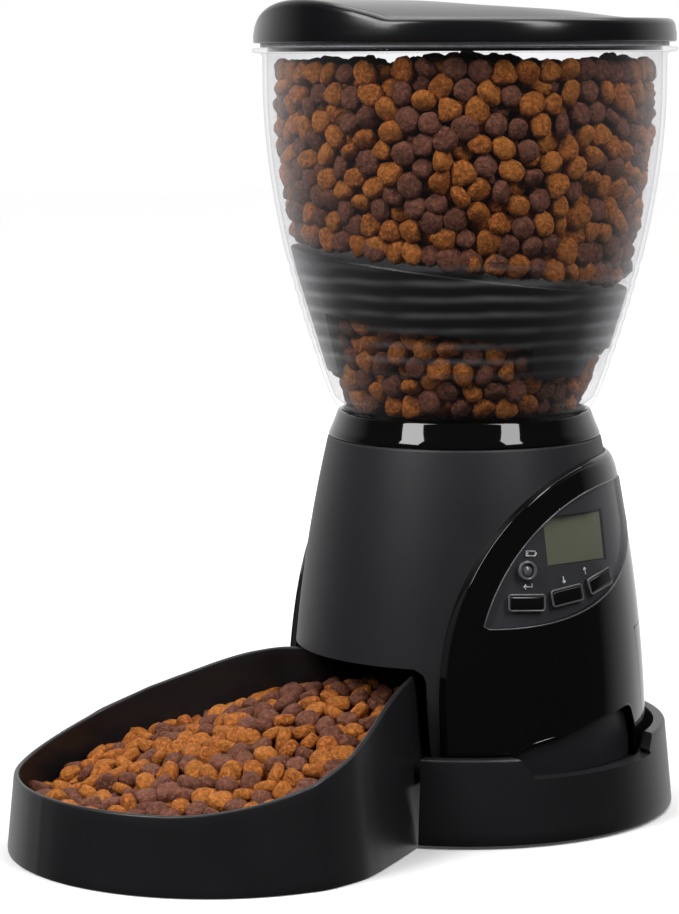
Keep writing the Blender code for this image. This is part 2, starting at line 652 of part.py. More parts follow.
def build_drive():
    """Gear case, motor, pinion, gear, shaft and the impeller they turn."""
    case_floor = 0.1400
    case_top = DRUM_FLOOR - GAP
    outer = [toward(angle, 0.0184) for angle in spaced(-105, 105, 14)]
    outer += [(x, y + GEAR_CENTRES) for x, y in (toward(angle, 0.0090) for angle in spaced(115, 245, 8))]
    inner = [toward(angle, 0.0168) for angle in spaced(-105, 105, 14)]
    inner += [(x, y + GEAR_CENTRES) for x, y in (toward(angle, 0.0074) for angle in spaced(115, 245, 8))]
    case = prism("gear_case", outer, case_floor, case_top, mat=NYLON)
    combine(case, prism("case_hollow", inner, case_floor + 0.0018, case_top + 0.002))
    bore = [(0, 0.150), (0.0026, 0.150), (0.0026, 0.130), (0, 0.130)]
    combine(case, lathe("motor_bore", bore, at=(0, GEAR_CENTRES, 0), segments=16))

    can = [(0, 0.1397), (0.0120, 0.1397), (0.0135, 0.1382), (0.0135, 0.1080), (0.0040, 0.1080),
           (0.0040, 0.1050), (0, 0.1050)]
    lathe("motor", can, STEEL, at=(0, GEAR_CENTRES, 0), segments=20)
    spindle = [(0, 0.0140), (0.0011, 0.0140), (0.0011, 0.0), (0, 0.0)]
    lathe("motor_shaft", spindle, STEEL, at=(0, GEAR_CENTRES, 0.1400), segments=12)

    gear_low, gear_high = 0.1440, 0.1495
    turn = math.radians(90) + math.pi / GEAR_TEETH
    pinion = prism("motor_pinion", gear_outline(PINION_TEETH, 0.02), 0, gear_high - gear_low, mat=STEEL,
                   at=(0, GEAR_CENTRES, gear_low))
    pinion.rotation_euler.z = math.radians(-90)
    bore = [(0, 0.010), (0.0014, 0.010), (0.0014, -0.004), (0, -0.004)]
    combine(pinion, lathe("pinion_bore", bore, at=(0, GEAR_CENTRES, gear_low), segments=12))
    gear = prism("drive_gear", gear_outline(GEAR_TEETH, 0.02), 0, gear_high - gear_low, mat=NYLON,
                 at=(0, 0, gear_low))
    gear.rotation_euler.z = turn
    bore = [(0, 0.010), (0.0031, 0.010), (0.0031, -0.004), (0, -0.004)]
    combine(gear, lathe("gear_bore", bore, at=(0, 0, gear_low), segments=16))
    shaft = [(0, 0.0300), (0.0022, 0.0300), (0.0028, 0.0290), (0.0028, 0.0), (0, 0.0)]
    lathe("drive_shaft", shaft, STEEL, at=(0, 0, 0.1421), segments=16)

    hub = [(0, 0.1830), (0.0040, 0.1825), (0.0080, 0.1790), (0.0090, 0.1740), (0.0090, 0.1595),
           (0.0031, 0.1595), (0.0031, 0.1726), (0, 0.1726)]
    impeller = lathe("impeller", [(r, z - 0.1595) for r, z in hub], RUBBER, at=(0, 0, 0.1595), segments=24)
    for blade in range(6):
        tool = block(f"paddle_{blade}", (0.0070, -0.0011, 0.0), (0.0520, 0.0011, 0.0190), at=(0, 0, 0.1595))
        tool.rotation_euler.z = math.radians(60 * blade)
        combine(impeller, tool, 'UNION')


# ---------------------------------------------------------------- batteries
def build_batteries():
    """Battery box open to the back, three cells on springs, and the upper contact."""
    outer = [(-0.0460, 0.0335), (0.0460, 0.0335), (0.0460, 0.0655), (0.0200, 0.0745), (-0.0200, 0.0745),
             (-0.0460, 0.0655)]
    box = prism("battery_box", outer, DECK_TOP + GAP, 0.1005, mat=MATTE_BLACK)
    bay = [(-0.0435, 0.0355), (0.0435, 0.0355), (0.0435, 0.0900), (-0.0435, 0.0900)]
    combine(box, prism("cell_bay", bay, 0.0430, 0.0985))
    under = [(-0.0435, 0.0355), (0.0435, 0.0355), (0.0435, 0.0640), (0.0195, 0.0723), (-0.0195, 0.0723),
             (-0.0435, 0.0640)]
    combine(box, prism("box_underside", under, 0.0200, 0.0410))
    r, h = CELL_RADIUS, CELL_HEIGHT
    cell = [(0, h), (0.0028, h), (0.0028, h - 0.0015), (r - 0.001, h - 0.0015), (r, h - 0.0025),
            (r, 0.0005), (r - 0.0006, 0), (0, 0)]
    for number, (x, y) in enumerate(CELLS, 1):
        lathe(f"battery_cell_{number}", cell, CELL_WRAP, at=(x, y, CELL_BOTTOM), segments=20)
        build_spring(f"battery_spring_{number}", x, y, 0.0433, CELL_BOTTOM - GAP)
    strip = [(-0.0400, 0.0440), (0.0400, 0.0440), (0.0400, 0.0600), (-0.0400, 0.0600)]
    prism("battery_contact", strip, CELL_BOTTOM + CELL_HEIGHT + GAP, 0.0980, mat=STEEL)


def build_spring(name, x, y, low, high):
    """A short conical coil under one cell."""
    wire = 0.0005
    turns, per_turn = 2, 12
    curve = bpy.data.curves.new(name, 'CURVE')
    curve.dimensions = '3D'
    curve.bevel_depth = wire
    curve.bevel_resolution = 0
    curve.use_fill_caps = True
    spline = curve.splines.new('POLY')
    count = turns * per_turn
    spline.points.add(count)
    for i, point in enumerate(spline.points):
        share = i / count
        angle = 2 * math.pi * turns * share
        radius = 0.0080 - 0.0035 * share
        point.co = (radius * math.cos(angle), radius * math.sin(angle),
                    low + wire + (high - low - 2 * wire) * share, 1)
    place(bpy.data.objects.new(name, curve), at=(x, y, 0))
    curve.materials.append(STEEL)


# ---------------------------------------------------------------- hopper and lid
def build_hopper():
    """Clear bell with a straight neck, a rounded shoulder and a rim flange."""
    heights = spaced(0.212, HOPPER_BELLY, 6)
    outer = [(hopper_radius(z), z) for z in reversed(heights)]
    inner = [(hopper_radius(z) - HOPPER_WALL, z) for z in heights]
    profile = [
        (0.1001, HOPPER_RIM),
        (0.1074, HOPPER_RIM),
        (0.1076, HOPPER_RIM - 0.0022),
        (0.1024, HOPPER_RIM - 0.0030),
        *outer,
        (0.0660, 0.2078),
        (0.0620, COLLAR_TOP + GAP),
        (0.0620, 0.1985),
        (0.0590, 0.1950),
        (0.0560, 0.1950),
        (0.0570, 0.2050),
        (0.0630, 0.2090),
        *inner,
    ]
    lathe("hopper", profile, CLEAR)


def build_baffle():
    """Black funnel inside the hopper that holds the food off the impeller.

    Its band follows the hopper's wall, dips to one side and stands on three legs.
    """
    leg_angles = (95, 215, 335)
    dip_angle = 142.0

    def level(angle, height):
        return height - 0.011 * math.cos(math.radians(angle - dip_angle))

    def wall_radius(height, inset):
        return hopper_radius(height) - HOPPER_WALL - inset

    def around(height, inset=None, radius=None, legs=False):
        points = []
        for i in range(SEGMENTS):
            angle = 360 / SEGMENTS * (i + 0.5)
            z = level(angle, height)
            near_leg = any(abs((angle - leg + 180) % 360 - 180) < 15 for leg in leg_angles)
            if legs and near_leg:
                z = 0.226
            reach = radius if radius is not None else wall_radius(z, inset)
            points.append((*toward(angle, reach), z))
        return points

    rings = [
        around(0.248, inset=0.0012, legs=True),
        around(0.278, inset=0.0012),
        around(0.278, inset=0.0030),
        around(0.258, radius=0.0340),
        around(0.256, radius=0.0340),
        around(0.272, inset=0.0060),
        around(0.248, inset=0.0034, legs=True),
    ]
    stacked("food_baffle", rings, MATTE_BLACK, closed=True)


def lid_height(x, y):
    """Top of the lid: a vault that sinks towards the back, with a scooped finger grip."""
    fade = 1 - min(1.0, max(0.0, y / VAULT_LENGTH)) ** 1.8
    crown = LID_CROWN * fade * max(0.0, 1 - (x / VAULT_HALF_WIDTH) ** 2)
    scoop = SCOOP_DEPTH * math.exp(-((x / SCOOP_SIZE[0]) ** 2 + (y / SCOOP_SIZE[1]) ** 2) ** 1.5)
    return LID_EDGE + 0.0015 + crown - scoop


def build_lid():
    """Round lid: vaulted top, rim wall and a plug ring that locates in the hopper."""
    wall = 0.0024

    def top(radius, drop=0.0):
        points = []
        for x, y, _ in ring(radius, 0):
            points.append((x, y, lid_height(x, y) - drop))
        return points

    rings = [
        ring(0.0975, PLUG_BOTTOM),
        ring(0.0995, PLUG_BOTTOM),
        ring(0.0995, LID_BOTTOM + 0.0020),
        ring(LID_RADIUS - wall, LID_BOTTOM + 0.0020),
        ring(LID_RADIUS - wall, LID_BOTTOM),
        ring(LID_RADIUS, LID_BOTTOM),
        ring(LID_RADIUS - 0.0008, LID_EDGE - 0.0030),
        top(LID_RADIUS - 0.0022, 0.0012),
        top(LID_RADIUS - 0.0060),
        top(0.075),
        top(0.045),
        top(0.018),
        top(0.0002),
    ]
    under = [
        top(0.0002, wall),
        top(0.018, wall),
        top(0.045, wall),
        top(0.075, wall),
        top(0.0945, wall),
        ring(0.0975, LID_BOTTOM + 0.0060),
    ]
    stacked("lid", rings + under, SATIN_BLACK, closed=True)


def build_lid_seal():
    """Soft ring round the plug, just inside the hopper's mouth."""
    profile = [
        (0.0998, LID_BOTTOM + 0.0017),
        (0.1035, LID_BOTTOM + 0.0017),
        (0.1035, HOPPER_RIM + GAP),
        (0.0998, HOPPER_RIM + GAP),
    ]
    lathe("lid_seal", profile, RUBBER)


build_platform()
build_screws()
build_bowl()
build_tower()
build_side_cover()
build_battery_door()
build_control_panel()
build_collar()
build_drum()
build_chute()
build_drive()
build_batteries()
build_hopper()
build_baffle()
build_lid()
build_lid_seal()
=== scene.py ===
"""Automatic pet feeder: its finished surfaces, the food, the camera and the stage.

Laid out as a Blender add-on and run as a script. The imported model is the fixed
frame: every piece here is built in place around it and rides on one of its bodies.
Units are metres, +Z up, the bowl faces -Y and the control panel faces +X.
"""

import math

import bmesh
import bpy
import numpy as np
from bpy.props import FloatProperty, FloatVectorProperty, IntProperty, PointerProperty
from mathutils import Matrix, Quaternion, Vector, noise


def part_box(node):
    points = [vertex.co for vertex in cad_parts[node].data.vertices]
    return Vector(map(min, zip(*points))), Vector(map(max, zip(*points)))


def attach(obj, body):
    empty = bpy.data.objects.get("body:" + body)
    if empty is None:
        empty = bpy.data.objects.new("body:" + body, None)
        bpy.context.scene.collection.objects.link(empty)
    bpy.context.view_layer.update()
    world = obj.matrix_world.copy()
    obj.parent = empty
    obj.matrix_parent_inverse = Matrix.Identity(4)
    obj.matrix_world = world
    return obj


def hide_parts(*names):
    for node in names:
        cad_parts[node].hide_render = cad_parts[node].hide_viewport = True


bl_info = {
    "name": "Automatic Pet Feeder",
    "version": (1, 0, 0),
    "blender": (4, 5, 0),
    "location": "View3D > Sidebar > Pet Feeder",
    "description": "Builds the finished surfaces of an automatic pet feeder around its frame",
    "category": "Object",
}

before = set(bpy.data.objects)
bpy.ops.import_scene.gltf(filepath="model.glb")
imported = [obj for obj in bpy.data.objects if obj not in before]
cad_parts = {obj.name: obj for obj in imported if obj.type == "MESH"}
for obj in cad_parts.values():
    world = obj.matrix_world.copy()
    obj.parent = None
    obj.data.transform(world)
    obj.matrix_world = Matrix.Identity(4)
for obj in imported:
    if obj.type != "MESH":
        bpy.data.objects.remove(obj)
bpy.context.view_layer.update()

# ---------------------------------------------------------------- sizes read from the frame
COLLAR_LOW, COLLAR_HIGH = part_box("collar_ring")
TOWER_LOW, TOWER_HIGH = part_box("tower_shell")
BASE_LOW, BASE_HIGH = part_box("base_platform")
LID_LOW, LID_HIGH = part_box("lid")
HOPPER_LOW, HOPPER_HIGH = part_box("hopper")
AXIS_Y = (COLLAR_LOW.y + COLLAR_HIGH.y) / 2      # the hopper's axis stands behind the origin
TOWER_TOP = TOWER_HIGH.z
COLLAR_TOP = COLLAR_HIGH.z
BASE_TOP = BASE_HIGH.z
BASE_FOOT = BASE_LOW.z
HOPPER_RIM = HOPPER_HIGH.z

# ---------------------------------------------------------------- sizes of the design
GAP = 0.0003
SEGMENTS = 168
BASE_RADIUS = 0.108
BASE_TOP_RADIUS = 0.104
DECK_TOP = 0.031
WELL_RADIUS = 0.098
BOWL_ROUND = 0.1045
BOWL_ROUND_Y = -0.153
BOWL_WALL = 0.0028
BOWL_LEAN = 0.10
BOWL_FRONT_HEIGHT = 0.038
BOWL_BACK_HEIGHT = 0.081
RIM_START = -0.232               # where the bowl's rim begins to climb, from the hopper's axis
RIM_RUN = 0.147
RIM_POWER = 1.6
RIM_TURN = 0.85                  # share of the climb after which the rim levels out
RIM_EASE = 0.27
TOWER_WALL = 0.0025
SKIN_PROUD = 0.0044
HOPPER_WALL = 0.0022
HOPPER_BELLY = 0.370
RIPPLE_FOOT = 0.2285             # lowest moulded ripple of the hopper
RIPPLES = 7
LID_RADIUS = 0.107
LID_BOTTOM = 0.3915
LID_EDGE = 0.4015
LID_CROWN = 0.0095
VAULT_HALF_WIDTH = 0.054
VAULT_LENGTH = 0.082             # the vault sinks to nothing this far behind the axis
SCOOP_DEPTH = 0.0062
SCOOP_BACK = 0.018               # the finger scoop sits this far behind the axis
SCOOP_SIZE = (0.022, 0.034)
ARCH_CENTRE = (0.045, 0.055)
ARCH_SIZE = (0.109, 0.129)
ARCH_POWER = 2.35
WINDOW_SIZE = (0.099, 0.117)
WINDOW_LOWER = (-0.038, 0.158, 0.100, 0.0525)
WINDOW_BACK_Y = 0.060
WINDOW_TIP_Y = -0.0475
PANEL_ANGLE = 92.0
PANEL_TILT = 9.5
PANEL_HEIGHT = 0.1465
LCD_DISTANCE = 0.0770
LCD_SHIFT = 0.0055
BUTTON_SIZE = (0.0175, 0.0066)
BUTTONS = {                      # direction, height and roll of each key
    "enter_button": (72.5, 0.1175, -3.0),
    "down_button": (87.5, 0.1193, 6.0),
    "up_button": (103.0, 0.1237, 12.0),
}
LED_ANGLE = 73.1
LED_HEIGHT = 0.1331
DOOR_HALF_WIDTH = 0.074
DOOR_BOTTOM = 0.048
DOOR_TOP = 0.096
BAFFLE_LEGS = (95, 215, 335)
BAFFLE_DIP = 142.0
BAFFLE_DROP = 0.011


# ---------------------------------------------------------------- settings a user would change
class FeederSizes(bpy.types.PropertyGroup):
    """Sizes of the finish and the food."""

    lip_radius: FloatProperty(
        name="Cover Lip", description="Radius of the bead round the glossy cover's edge",
        default=0.0011, min=0.0004, max=0.002, unit='LENGTH', precision=4)
    ripple_height: FloatProperty(
        name="Ripple Height", description="Depth of the moulded ripples low on the hopper",
        default=0.0005, min=0.0, max=0.001, unit='LENGTH', precision=5)
    ripple_spacing: FloatProperty(
        name="Ripple Spacing", description="Height from one ripple of the hopper to the next",
        default=0.0078, min=0.005, max=0.03, unit='LENGTH', precision=4)
    kibble_size: FloatProperty(
        name="Kibble Size", description="Width of one piece of dry food",
        default=0.0122, min=0.006, max=0.018, unit='LENGTH', precision=4)
    food_level: FloatProperty(
        name="Food Level", description="Height of the food's surface in the hopper",
        default=0.3860, min=0.32, max=0.388, unit='LENGTH', precision=4)
    food_seed: IntProperty(
        name="Food Seed", description="Seed that scatters the pieces of food",
        default=7, min=0, max=9999)


class FeederColours(bpy.types.PropertyGroup):
    """Colours of the finishes."""

    tower: FloatVectorProperty(
        name="Tower", description="Matte plastic of the tower's front", subtype='COLOR',
        size=3, min=0, max=1, default=(0.0125, 0.0125, 0.0150))
    cover: FloatVectorProperty(
        name="Cover", description="Polished plastic of the side cover and keys", subtype='COLOR',
        size=3, min=0, max=1, default=(0.0025, 0.0025, 0.0029))
    bowl: FloatVectorProperty(
        name="Bowl", description="Satin plastic of the bowl and platform", subtype='COLOR',
        size=3, min=0, max=1, default=(0.0105, 0.0105, 0.0118))
    lid: FloatVectorProperty(
        name="Lid", description="Satin plastic of the lid", subtype='COLOR',
        size=3, min=0, max=1, default=(0.0050, 0.0050, 0.0058))
    hopper: FloatVectorProperty(
        name="Hopper", description="Clear plastic of the hopper", subtype='COLOR',
        size=3, min=0, max=1, default=(0.86, 0.87, 0.88))
    display: FloatVectorProperty(
        name="Display", description="Unlit liquid crystal display", subtype='COLOR',
        size=3, min=0, max=1, default=(0.400, 0.415, 0.270))
    amber_food: FloatVectorProperty(
        name="Amber Food", description="Lighter pieces of dry food", subtype='COLOR',
        size=3, min=0, max=1, default=(0.40, 0.120, 0.016))
    brown_food: FloatVectorProperty(
        name="Brown Food", description="Darker pieces of dry food", subtype='COLOR',
        size=3, min=0, max=1, default=(0.165, 0.054, 0.028))


# ---------------------------------------------------------------- rules that the shapes follow
def spaced(start, end, steps):
    """Evenly spaced values, both ends included."""
    return [start + (end - start) * i / steps for i in range(steps + 1)]


def ease(share):
    """A smooth step from 0 to 1."""
    share = min(1.0, max(0.0, share))
    return share * share * (3 - 2 * share)


def toward(angle, radius):
    """Plan position at an angle from the front (0) towards the panel side (90)."""
    bearing = math.radians(angle)
    return radius * math.sin(bearing), -radius * math.cos(bearing)


def tower_radius(height):
    """Outer radius of the tower, a parabola that narrows upwards."""
    rise = (height - 0.020) / 0.172
    return 0.090 - 0.020 * rise ** 2


def hopper_radius(height):
    """Outer radius of the hopper's bell above its shoulder."""
    drop = max(0.0, (HOPPER_BELLY - height) / 0.165)
    return 0.1023 - 0.0363 * drop ** 1.8


def arch_point(turn, inset=0.0):
    """(y, z) on the cover's sweeping edge, from its foot (0) to its top (90)."""
    bearing = math.radians(turn)
    y = ARCH_CENTRE[0] - (ARCH_SIZE[0] - inset) * math.cos(bearing) ** (2 / ARCH_POWER)
    z = ARCH_CENTRE[1] + (ARCH_SIZE[1] - inset) * math.sin(bearing) ** (2 / ARCH_POWER)
    return y, z


def arch_outline(inset=0.0, steps=60):
    """Side view of the cover: a superellipse sweep in front, square behind."""
    points = [(ARCH_CENTRE[0] - ARCH_SIZE[0] + inset, DECK_TOP + GAP)]
    points += [arch_point(turn, inset) for turn in spaced(0, 90, steps)]
    points.append((0.120, points[-1][1]))
    points.append((0.120, DECK_TOP + GAP))
    return points


def window_outline(inset=0.0, steps=44):
    """Leaf shape of the control window, seen from the side."""
    centre_y, centre_z = ARCH_CENTRE
    half_y, half_z = WINDOW_SIZE[0] - inset, WINDOW_SIZE[1] - inset
    low_y, low_z, low_half_y, low_half_z = WINDOW_LOWER
    tip_y = WINDOW_TIP_Y + inset * 1.6
    back_y = WINDOW_BACK_Y - inset
    points = []
    for y in spaced(tip_y, centre_y, steps):
        reach = min(1.0, max(0.0, (centre_y - y) / half_y))
        points.append((y, centre_z + half_z * (1 - reach ** ARCH_POWER) ** (1 / ARCH_POWER)))
    corner = 0.0035
    top = centre_z + half_z
    for turn in spaced(90, 0, 6):
        bearing = math.radians(turn)
        points.append((back_y - corner + corner * math.cos(bearing),
                       top - corner + corner * math.sin(bearing)))
    for y in spaced(back_y, tip_y + 0.002, steps):
        reach = min(1.0, abs(y - low_y) / (low_half_y - inset))
        points.append((y, low_z - (low_half_z - inset) * math.sqrt(1 - reach ** 2)))
    return points


def bowl_rim_height(y):
    """The bowl's rim is low in front, climbs towards the tower and levels out there."""
    run = max(0.0, (y - RIM_START) / RIM_RUN)
    if run < RIM_TURN:
        climb = run ** RIM_POWER
    else:
        t = min(1.0, (run - RIM_TURN) / RIM_EASE)
        slope = RIM_POWER * RIM_TURN ** (RIM_POWER - 1) * RIM_EASE
        climb = (1 + 2 * t) * (1 - t) ** 2 * RIM_TURN ** RIM_POWER
        climb += t * (1 - t) ** 2 * slope + t * t * (3 - 2 * t)
    return BOWL_FRONT_HEIGHT + (BOWL_BACK_HEIGHT - BOWL_FRONT_HEIGHT) * climb


def bowl_guide():
    """Half plan of the bowl's foot, from the tip round to the back, x >= 0."""
    points = []
    for angle in spaced(0, 86, 12):
        x, y = toward(angle, BOWL_ROUND)
        points.append((x, BOWL_ROUND_Y + y))
    points += [(0.1005, -0.1390), (0.0945, -0.1255), (0.0880, -0.1140), (0.0800, -0.1005),
               (0.0735, -0.0900), (0.0690, -0.0831), (0.0615, -0.0715), (0.0530, -0.0610),
               (0.0505, -0.0480), (0.0500, -0.0300), (0.0440, -0.0210)]
    return points


def smoothed(points, per_span):
    """Catmull-Rom curve through the points, ends included."""
    ends = [points[0]] + points + [points[-1]]
    result = []
    for a, b, c, d in zip(ends, ends[1:], ends[2:], ends[3:]):
        for i in range(per_span):
            t = i / per_span
            result.append(tuple(
                0.5 * (2 * q + (r - p) * t + (2 * p - 5 * q + 4 * r - s) * t * t
                       + (3 * q - p - 3 * r + s) * t ** 3)
                for p, q, r, s in zip(a, b, c, d)))
    result.append(points[-1])
    return result


def bowl_plan(inset=0.0):
    """Closed plan of the bowl at the floor, moved in square to itself."""
    half = smoothed(bowl_guide(), 5)
    half[0] = (0.0, half[0][1])
    loop = half + [(-x, y) for x, y in reversed(half[1:])]
    if not inset:
        return loop
    moved = []
    for i, (x, y) in enumerate(loop):
        before, after = loop[i - 1], loop[(i + 1) % len(loop)]
        run = Vector((after[0] - before[0], after[1] - before[1])).normalized()
        moved.append((x - run.y * inset, y + run.x * inset))
    return moved


def lid_height(x, y):
    """Top of the lid: a vault that sinks towards the back, with a scooped finger grip."""
    fade = 1 - min(1.0, max(0.0, y / VAULT_LENGTH)) ** 1.8
    crown = LID_CROWN * fade * max(0.0, 1 - (x / VAULT_HALF_WIDTH) ** 2)
    scoop_x, scoop_y = x / SCOOP_SIZE[0], (y - SCOOP_BACK) / SCOOP_SIZE[1]
    scoop = SCOOP_DEPTH * math.exp(-(scoop_x ** 2 + scoop_y ** 2) ** 1.5)
    return LID_EDGE + 0.0015 + crown - scoop


def baffle_level(angle, height):
    """The baffle's band is tilted: it dips to one side."""
    return height - BAFFLE_DROP * math.cos(math.radians(angle - BAFFLE_DIP))


def outward(angle, height, roll=0.0):
    """Frame on the tower's side: X across, Y up the slope, Z straight out."""
    bearing = math.radians(angle)
    out = Vector((math.sin(bearing), -math.cos(bearing), 0))
    slope = math.radians(PANEL_TILT)
    normal = out * math.cos(slope) + Vector((0, 0, math.sin(slope)))
    up = Vector((0, 0, math.cos(slope))) - out * math.sin(slope)
    turn = Matrix((up.cross(normal), up, normal)).transposed().to_4x4()
    foot = out * tower_radius(height)
    return Matrix.Translation((foot.x, foot.y, height)) @ turn @ Matrix.Rotation(math.radians(roll), 4, 'Z')


def on_tower(y, z, side, offset):
    """Point of the tower's side with a given side view, offset from its surface."""
    radius = tower_radius(z) + offset
    return (side * math.sqrt(max(0.0, radius ** 2 - y ** 2)), y, z)


# ---------------------------------------------------------------- mesh tools
def as_object(name, work):
    """A scene object from a bmesh, with its normals made to point out."""
    bmesh.ops.recalc_face_normals(work, faces=work.faces)
    mesh = bpy.data.meshes.new(name)
    work.to_mesh(mesh)
    work.free()
    obj = bpy.data.objects.new(name, mesh)
    bpy.context.scene.collection.objects.link(obj)
    return obj


def turned(name, profile, segments=SEGMENTS, centre=(0, 0)):
    """Turn a closed (radius, height) outline about a vertical line."""
    work = bmesh.new()
    rows = []
    for radius, height in profile:
        if radius < 1e-7:
            rows.append([work.verts.new((centre[0], centre[1], height))])
            continue
        rows.append([work.verts.new((centre[0] + radius * math.cos(2 * math.pi * i / segments),
                                     centre[1] + radius * math.sin(2 * math.pi * i / segments), height))
                     for i in range(segments)])
    for lower, upper in zip(rows, rows[1:] + rows[:1]):
        if len(lower) == 1 and len(upper) == 1:
            continue
        for i in range(segments):
            j = (i + 1) % segments
            corners = [lower[i % len(lower)], lower[j % len(lower)],
                       upper[j % len(upper)], upper[i % len(upper)]]
            work.faces.new(list(dict.fromkeys(corners)))
    return as_object(name, work)


def prism(name, outline, low, high, axis='Z'):
    """Extrude a closed outline: (x, y) along Z, (y, z) along X or (x, z) along Y."""
    order = {'Z': lambda u, v, w: (u, v, w),
             'X': lambda u, v, w: (w, u, v),
             'Y': lambda u, v, w: (u, w, v)}[axis]
    work = bmesh.new()
    near = [work.verts.new(order(u, v, low)) for u, v in outline]
    far = [work.verts.new(order(u, v, high)) for u, v in outline]
    work.faces.new(near)
    work.faces.new(far)
    for i in range(len(outline)):
        j = (i + 1) % len(outline)
        work.faces.new((near[i], near[j], far[j], far[i]))
    return as_object(name, work)


def stacked(name, rings, closed=False):
    """A skin over a stack of equal rings: capped at both ends, or closed on itself."""
    work = bmesh.new()
    rows = [[work.verts.new(point) for point in ring] for ring in rings]
    count = len(rows[0])
    for lower, upper in zip(rows, rows[1:] + (rows[:1] if closed else [])):
        for i in range(count):
            j = (i + 1) % count
            work.faces.new((lower[i], lower[j], upper[j], upper[i]))
    if not closed:
        work.faces.new(rows[0])
        work.faces.new(rows[-1])
    return as_object(name, work)


def block(name, low, high, place=None, rounding=0.0, segments=4):
    """A box between two corners with rounded edges, placed by a matrix."""
    work = bmesh.new()
    bmesh.ops.create_cube(work, size=1)
    bmesh.ops.scale(work, vec=[b - a for a, b in zip(low, high)], verts=work.verts)
    bmesh.ops.translate(work, vec=[(a + b) / 2 for a, b in zip(low, high)], verts=work.verts)
    if rounding:
        bmesh.ops.bevel(work, geom=work.edges[:], offset=rounding, segments=segments,
                        profile=0.5, affect='EDGES')
    if place is not None:
        bmesh.ops.transform(work, matrix=place, verts=work.verts)
    return as_object(name, work)


def settle(obj):
    """Turn an object and its modifiers into one plain mesh."""
    graph = bpy.context.evaluated_depsgraph_get()
    mesh = bpy.data.meshes.new_from_object(obj.evaluated_get(graph))
    mesh.name = obj.name
    obj.modifiers.clear()
    obj.data = mesh
    return obj


def combine(target, tool, operation='DIFFERENCE'):
    """Cut, join or keep the common part, and drop the tool."""
    boolean = target.modifiers.new("cut", 'BOOLEAN')
    boolean.operation = operation
    boolean.solver = 'EXACT'
    boolean.object = tool
    settle(target)
    bpy.data.objects.remove(tool)
    return target


def joined(name, pieces):
    """Put several meshes into one object."""
    work = bmesh.new()
    for piece in pieces:
        work.from_mesh(piece.data)
        bpy.data.objects.remove(piece)
    mesh = bpy.data.meshes.new(name)
    work.to_mesh(mesh)
    work.free()
    obj = bpy.data.objects.new(name, mesh)
    bpy.context.scene.collection.objects.link(obj)
    return obj


def smooth(obj, angle=35.0):
    """Smooth shading with sharp edges kept."""
    obj.data.shade_smooth()
    obj.data.set_sharp_from_angle(angle=math.radians(angle))
    return obj


def true_skin(obj, radius_at, angle=35.0):
    """Give a cut shell the shading of the turned surface that it was cut from."""
    smooth(obj, angle)
    mesh = obj.data
    normals = []
    step = 0.0005
    for face in mesh.polygons:
        for index in face.vertices:
            x, y, z = mesh.vertices[index].co
            slope = (radius_at(z + step) - radius_at(z - step)) / (2 * step)
            out = Vector((x, y, -slope * math.hypot(x, y))).normalized()
            facing = out.dot(face.normal)
            if facing > 0.96:
                normals.append(out)
            elif facing < -0.96:
                normals.append(-out)
            else:
                normals.append(Vector((0, 0, 0)))
    mesh.normals_split_custom_set(normals)
    return obj


def finish(obj, body, slot, material, *nodes):
    """Move a piece from the axis to its place, paint it and set it on its body."""
    obj.data.transform(Matrix.Translation((0, AXIS_Y, 0)))
    obj.data.materials.clear()
    obj.data.materials.append(material)
    if nodes:
        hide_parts(*nodes)
    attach(obj, body)
    return obj


# ---------------------------------------------------------------- geometry node trees
def new_tree(name, inputs):
    """A geometry node tree with a geometry input, named inputs and one output."""
    tree = bpy.data.node_groups.new(name, 'GeometryNodeTree')
    tree.interface.new_socket(name="Geometry", in_out='INPUT', socket_type='NodeSocketGeometry')
    for label, kind in inputs:
        tree.interface.new_socket(name=label, in_out='INPUT', socket_type=kind)
    tree.interface.new_socket(name="Geometry", in_out='OUTPUT', socket_type='NodeSocketGeometry')
    return tree, tree.nodes.new('NodeGroupInput'), tree.nodes.new('NodeGroupOutput')


def run_tree(obj, tree, values):
    """Set a tree's inputs by identifier, evaluate it and keep the plain mesh."""
    modifier = obj.modifiers.new(tree.name, 'NODES')
    modifier.node_group = tree
    for item in tree.interface.items_tree:
        if item.in_out == 'INPUT' and item.name in values:
            modifier[item.identifier] = values[item.name]
    return settle(obj)


def closing(tree, geometry, group_in, group_out):
    """Realize the instances, set the material and end the tree."""
    real = tree.nodes.new('GeometryNodeRealizeInstances')
    shade = tree.nodes.new('GeometryNodeSetShadeSmooth')
    paint = tree.nodes.new('GeometryNodeSetMaterial')
    tree.links.new(geometry, real.inputs["Geometry"])
    tree.links.new(real.outputs["Geometry"], shade.inputs["Geometry"])
    tree.links.new(shade.outputs["Geometry"], paint.inputs["Geometry"])
    tree.links.new(group_in.outputs["Material"], paint.inputs["Material"])
    tree.links.new(paint.outputs["Geometry"], group_out.inputs["Geometry"])
    return tree


def bead_tree():
    """A round bead that follows a path of edges."""
    tree, group_in, group_out = new_tree("bead_along_path", [
        ("Radius", 'NodeSocketFloat'), ("Sides", 'NodeSocketInt'), ("Material", 'NodeSocketMaterial')])
    path = tree.nodes.new('GeometryNodeMeshToCurve')
    circle = tree.nodes.new('GeometryNodeCurvePrimitiveCircle')
    sweep = tree.nodes.new('GeometryNodeCurveToMesh')
    sweep.inputs["Fill Caps"].default_value = True
    tree.links.new(group_in.outputs["Geometry"], path.inputs["Mesh"])
    tree.links.new(group_in.outputs["Radius"], circle.inputs["Radius"])
    tree.links.new(group_in.outputs["Sides"], circle.inputs["Resolution"])
    tree.links.new(path.outputs["Curve"], sweep.inputs["Curve"])
    tree.links.new(circle.outputs["Curve"], sweep.inputs["Profile Curve"])
    return closing(tree, sweep.outputs["Mesh"], group_in, group_out)


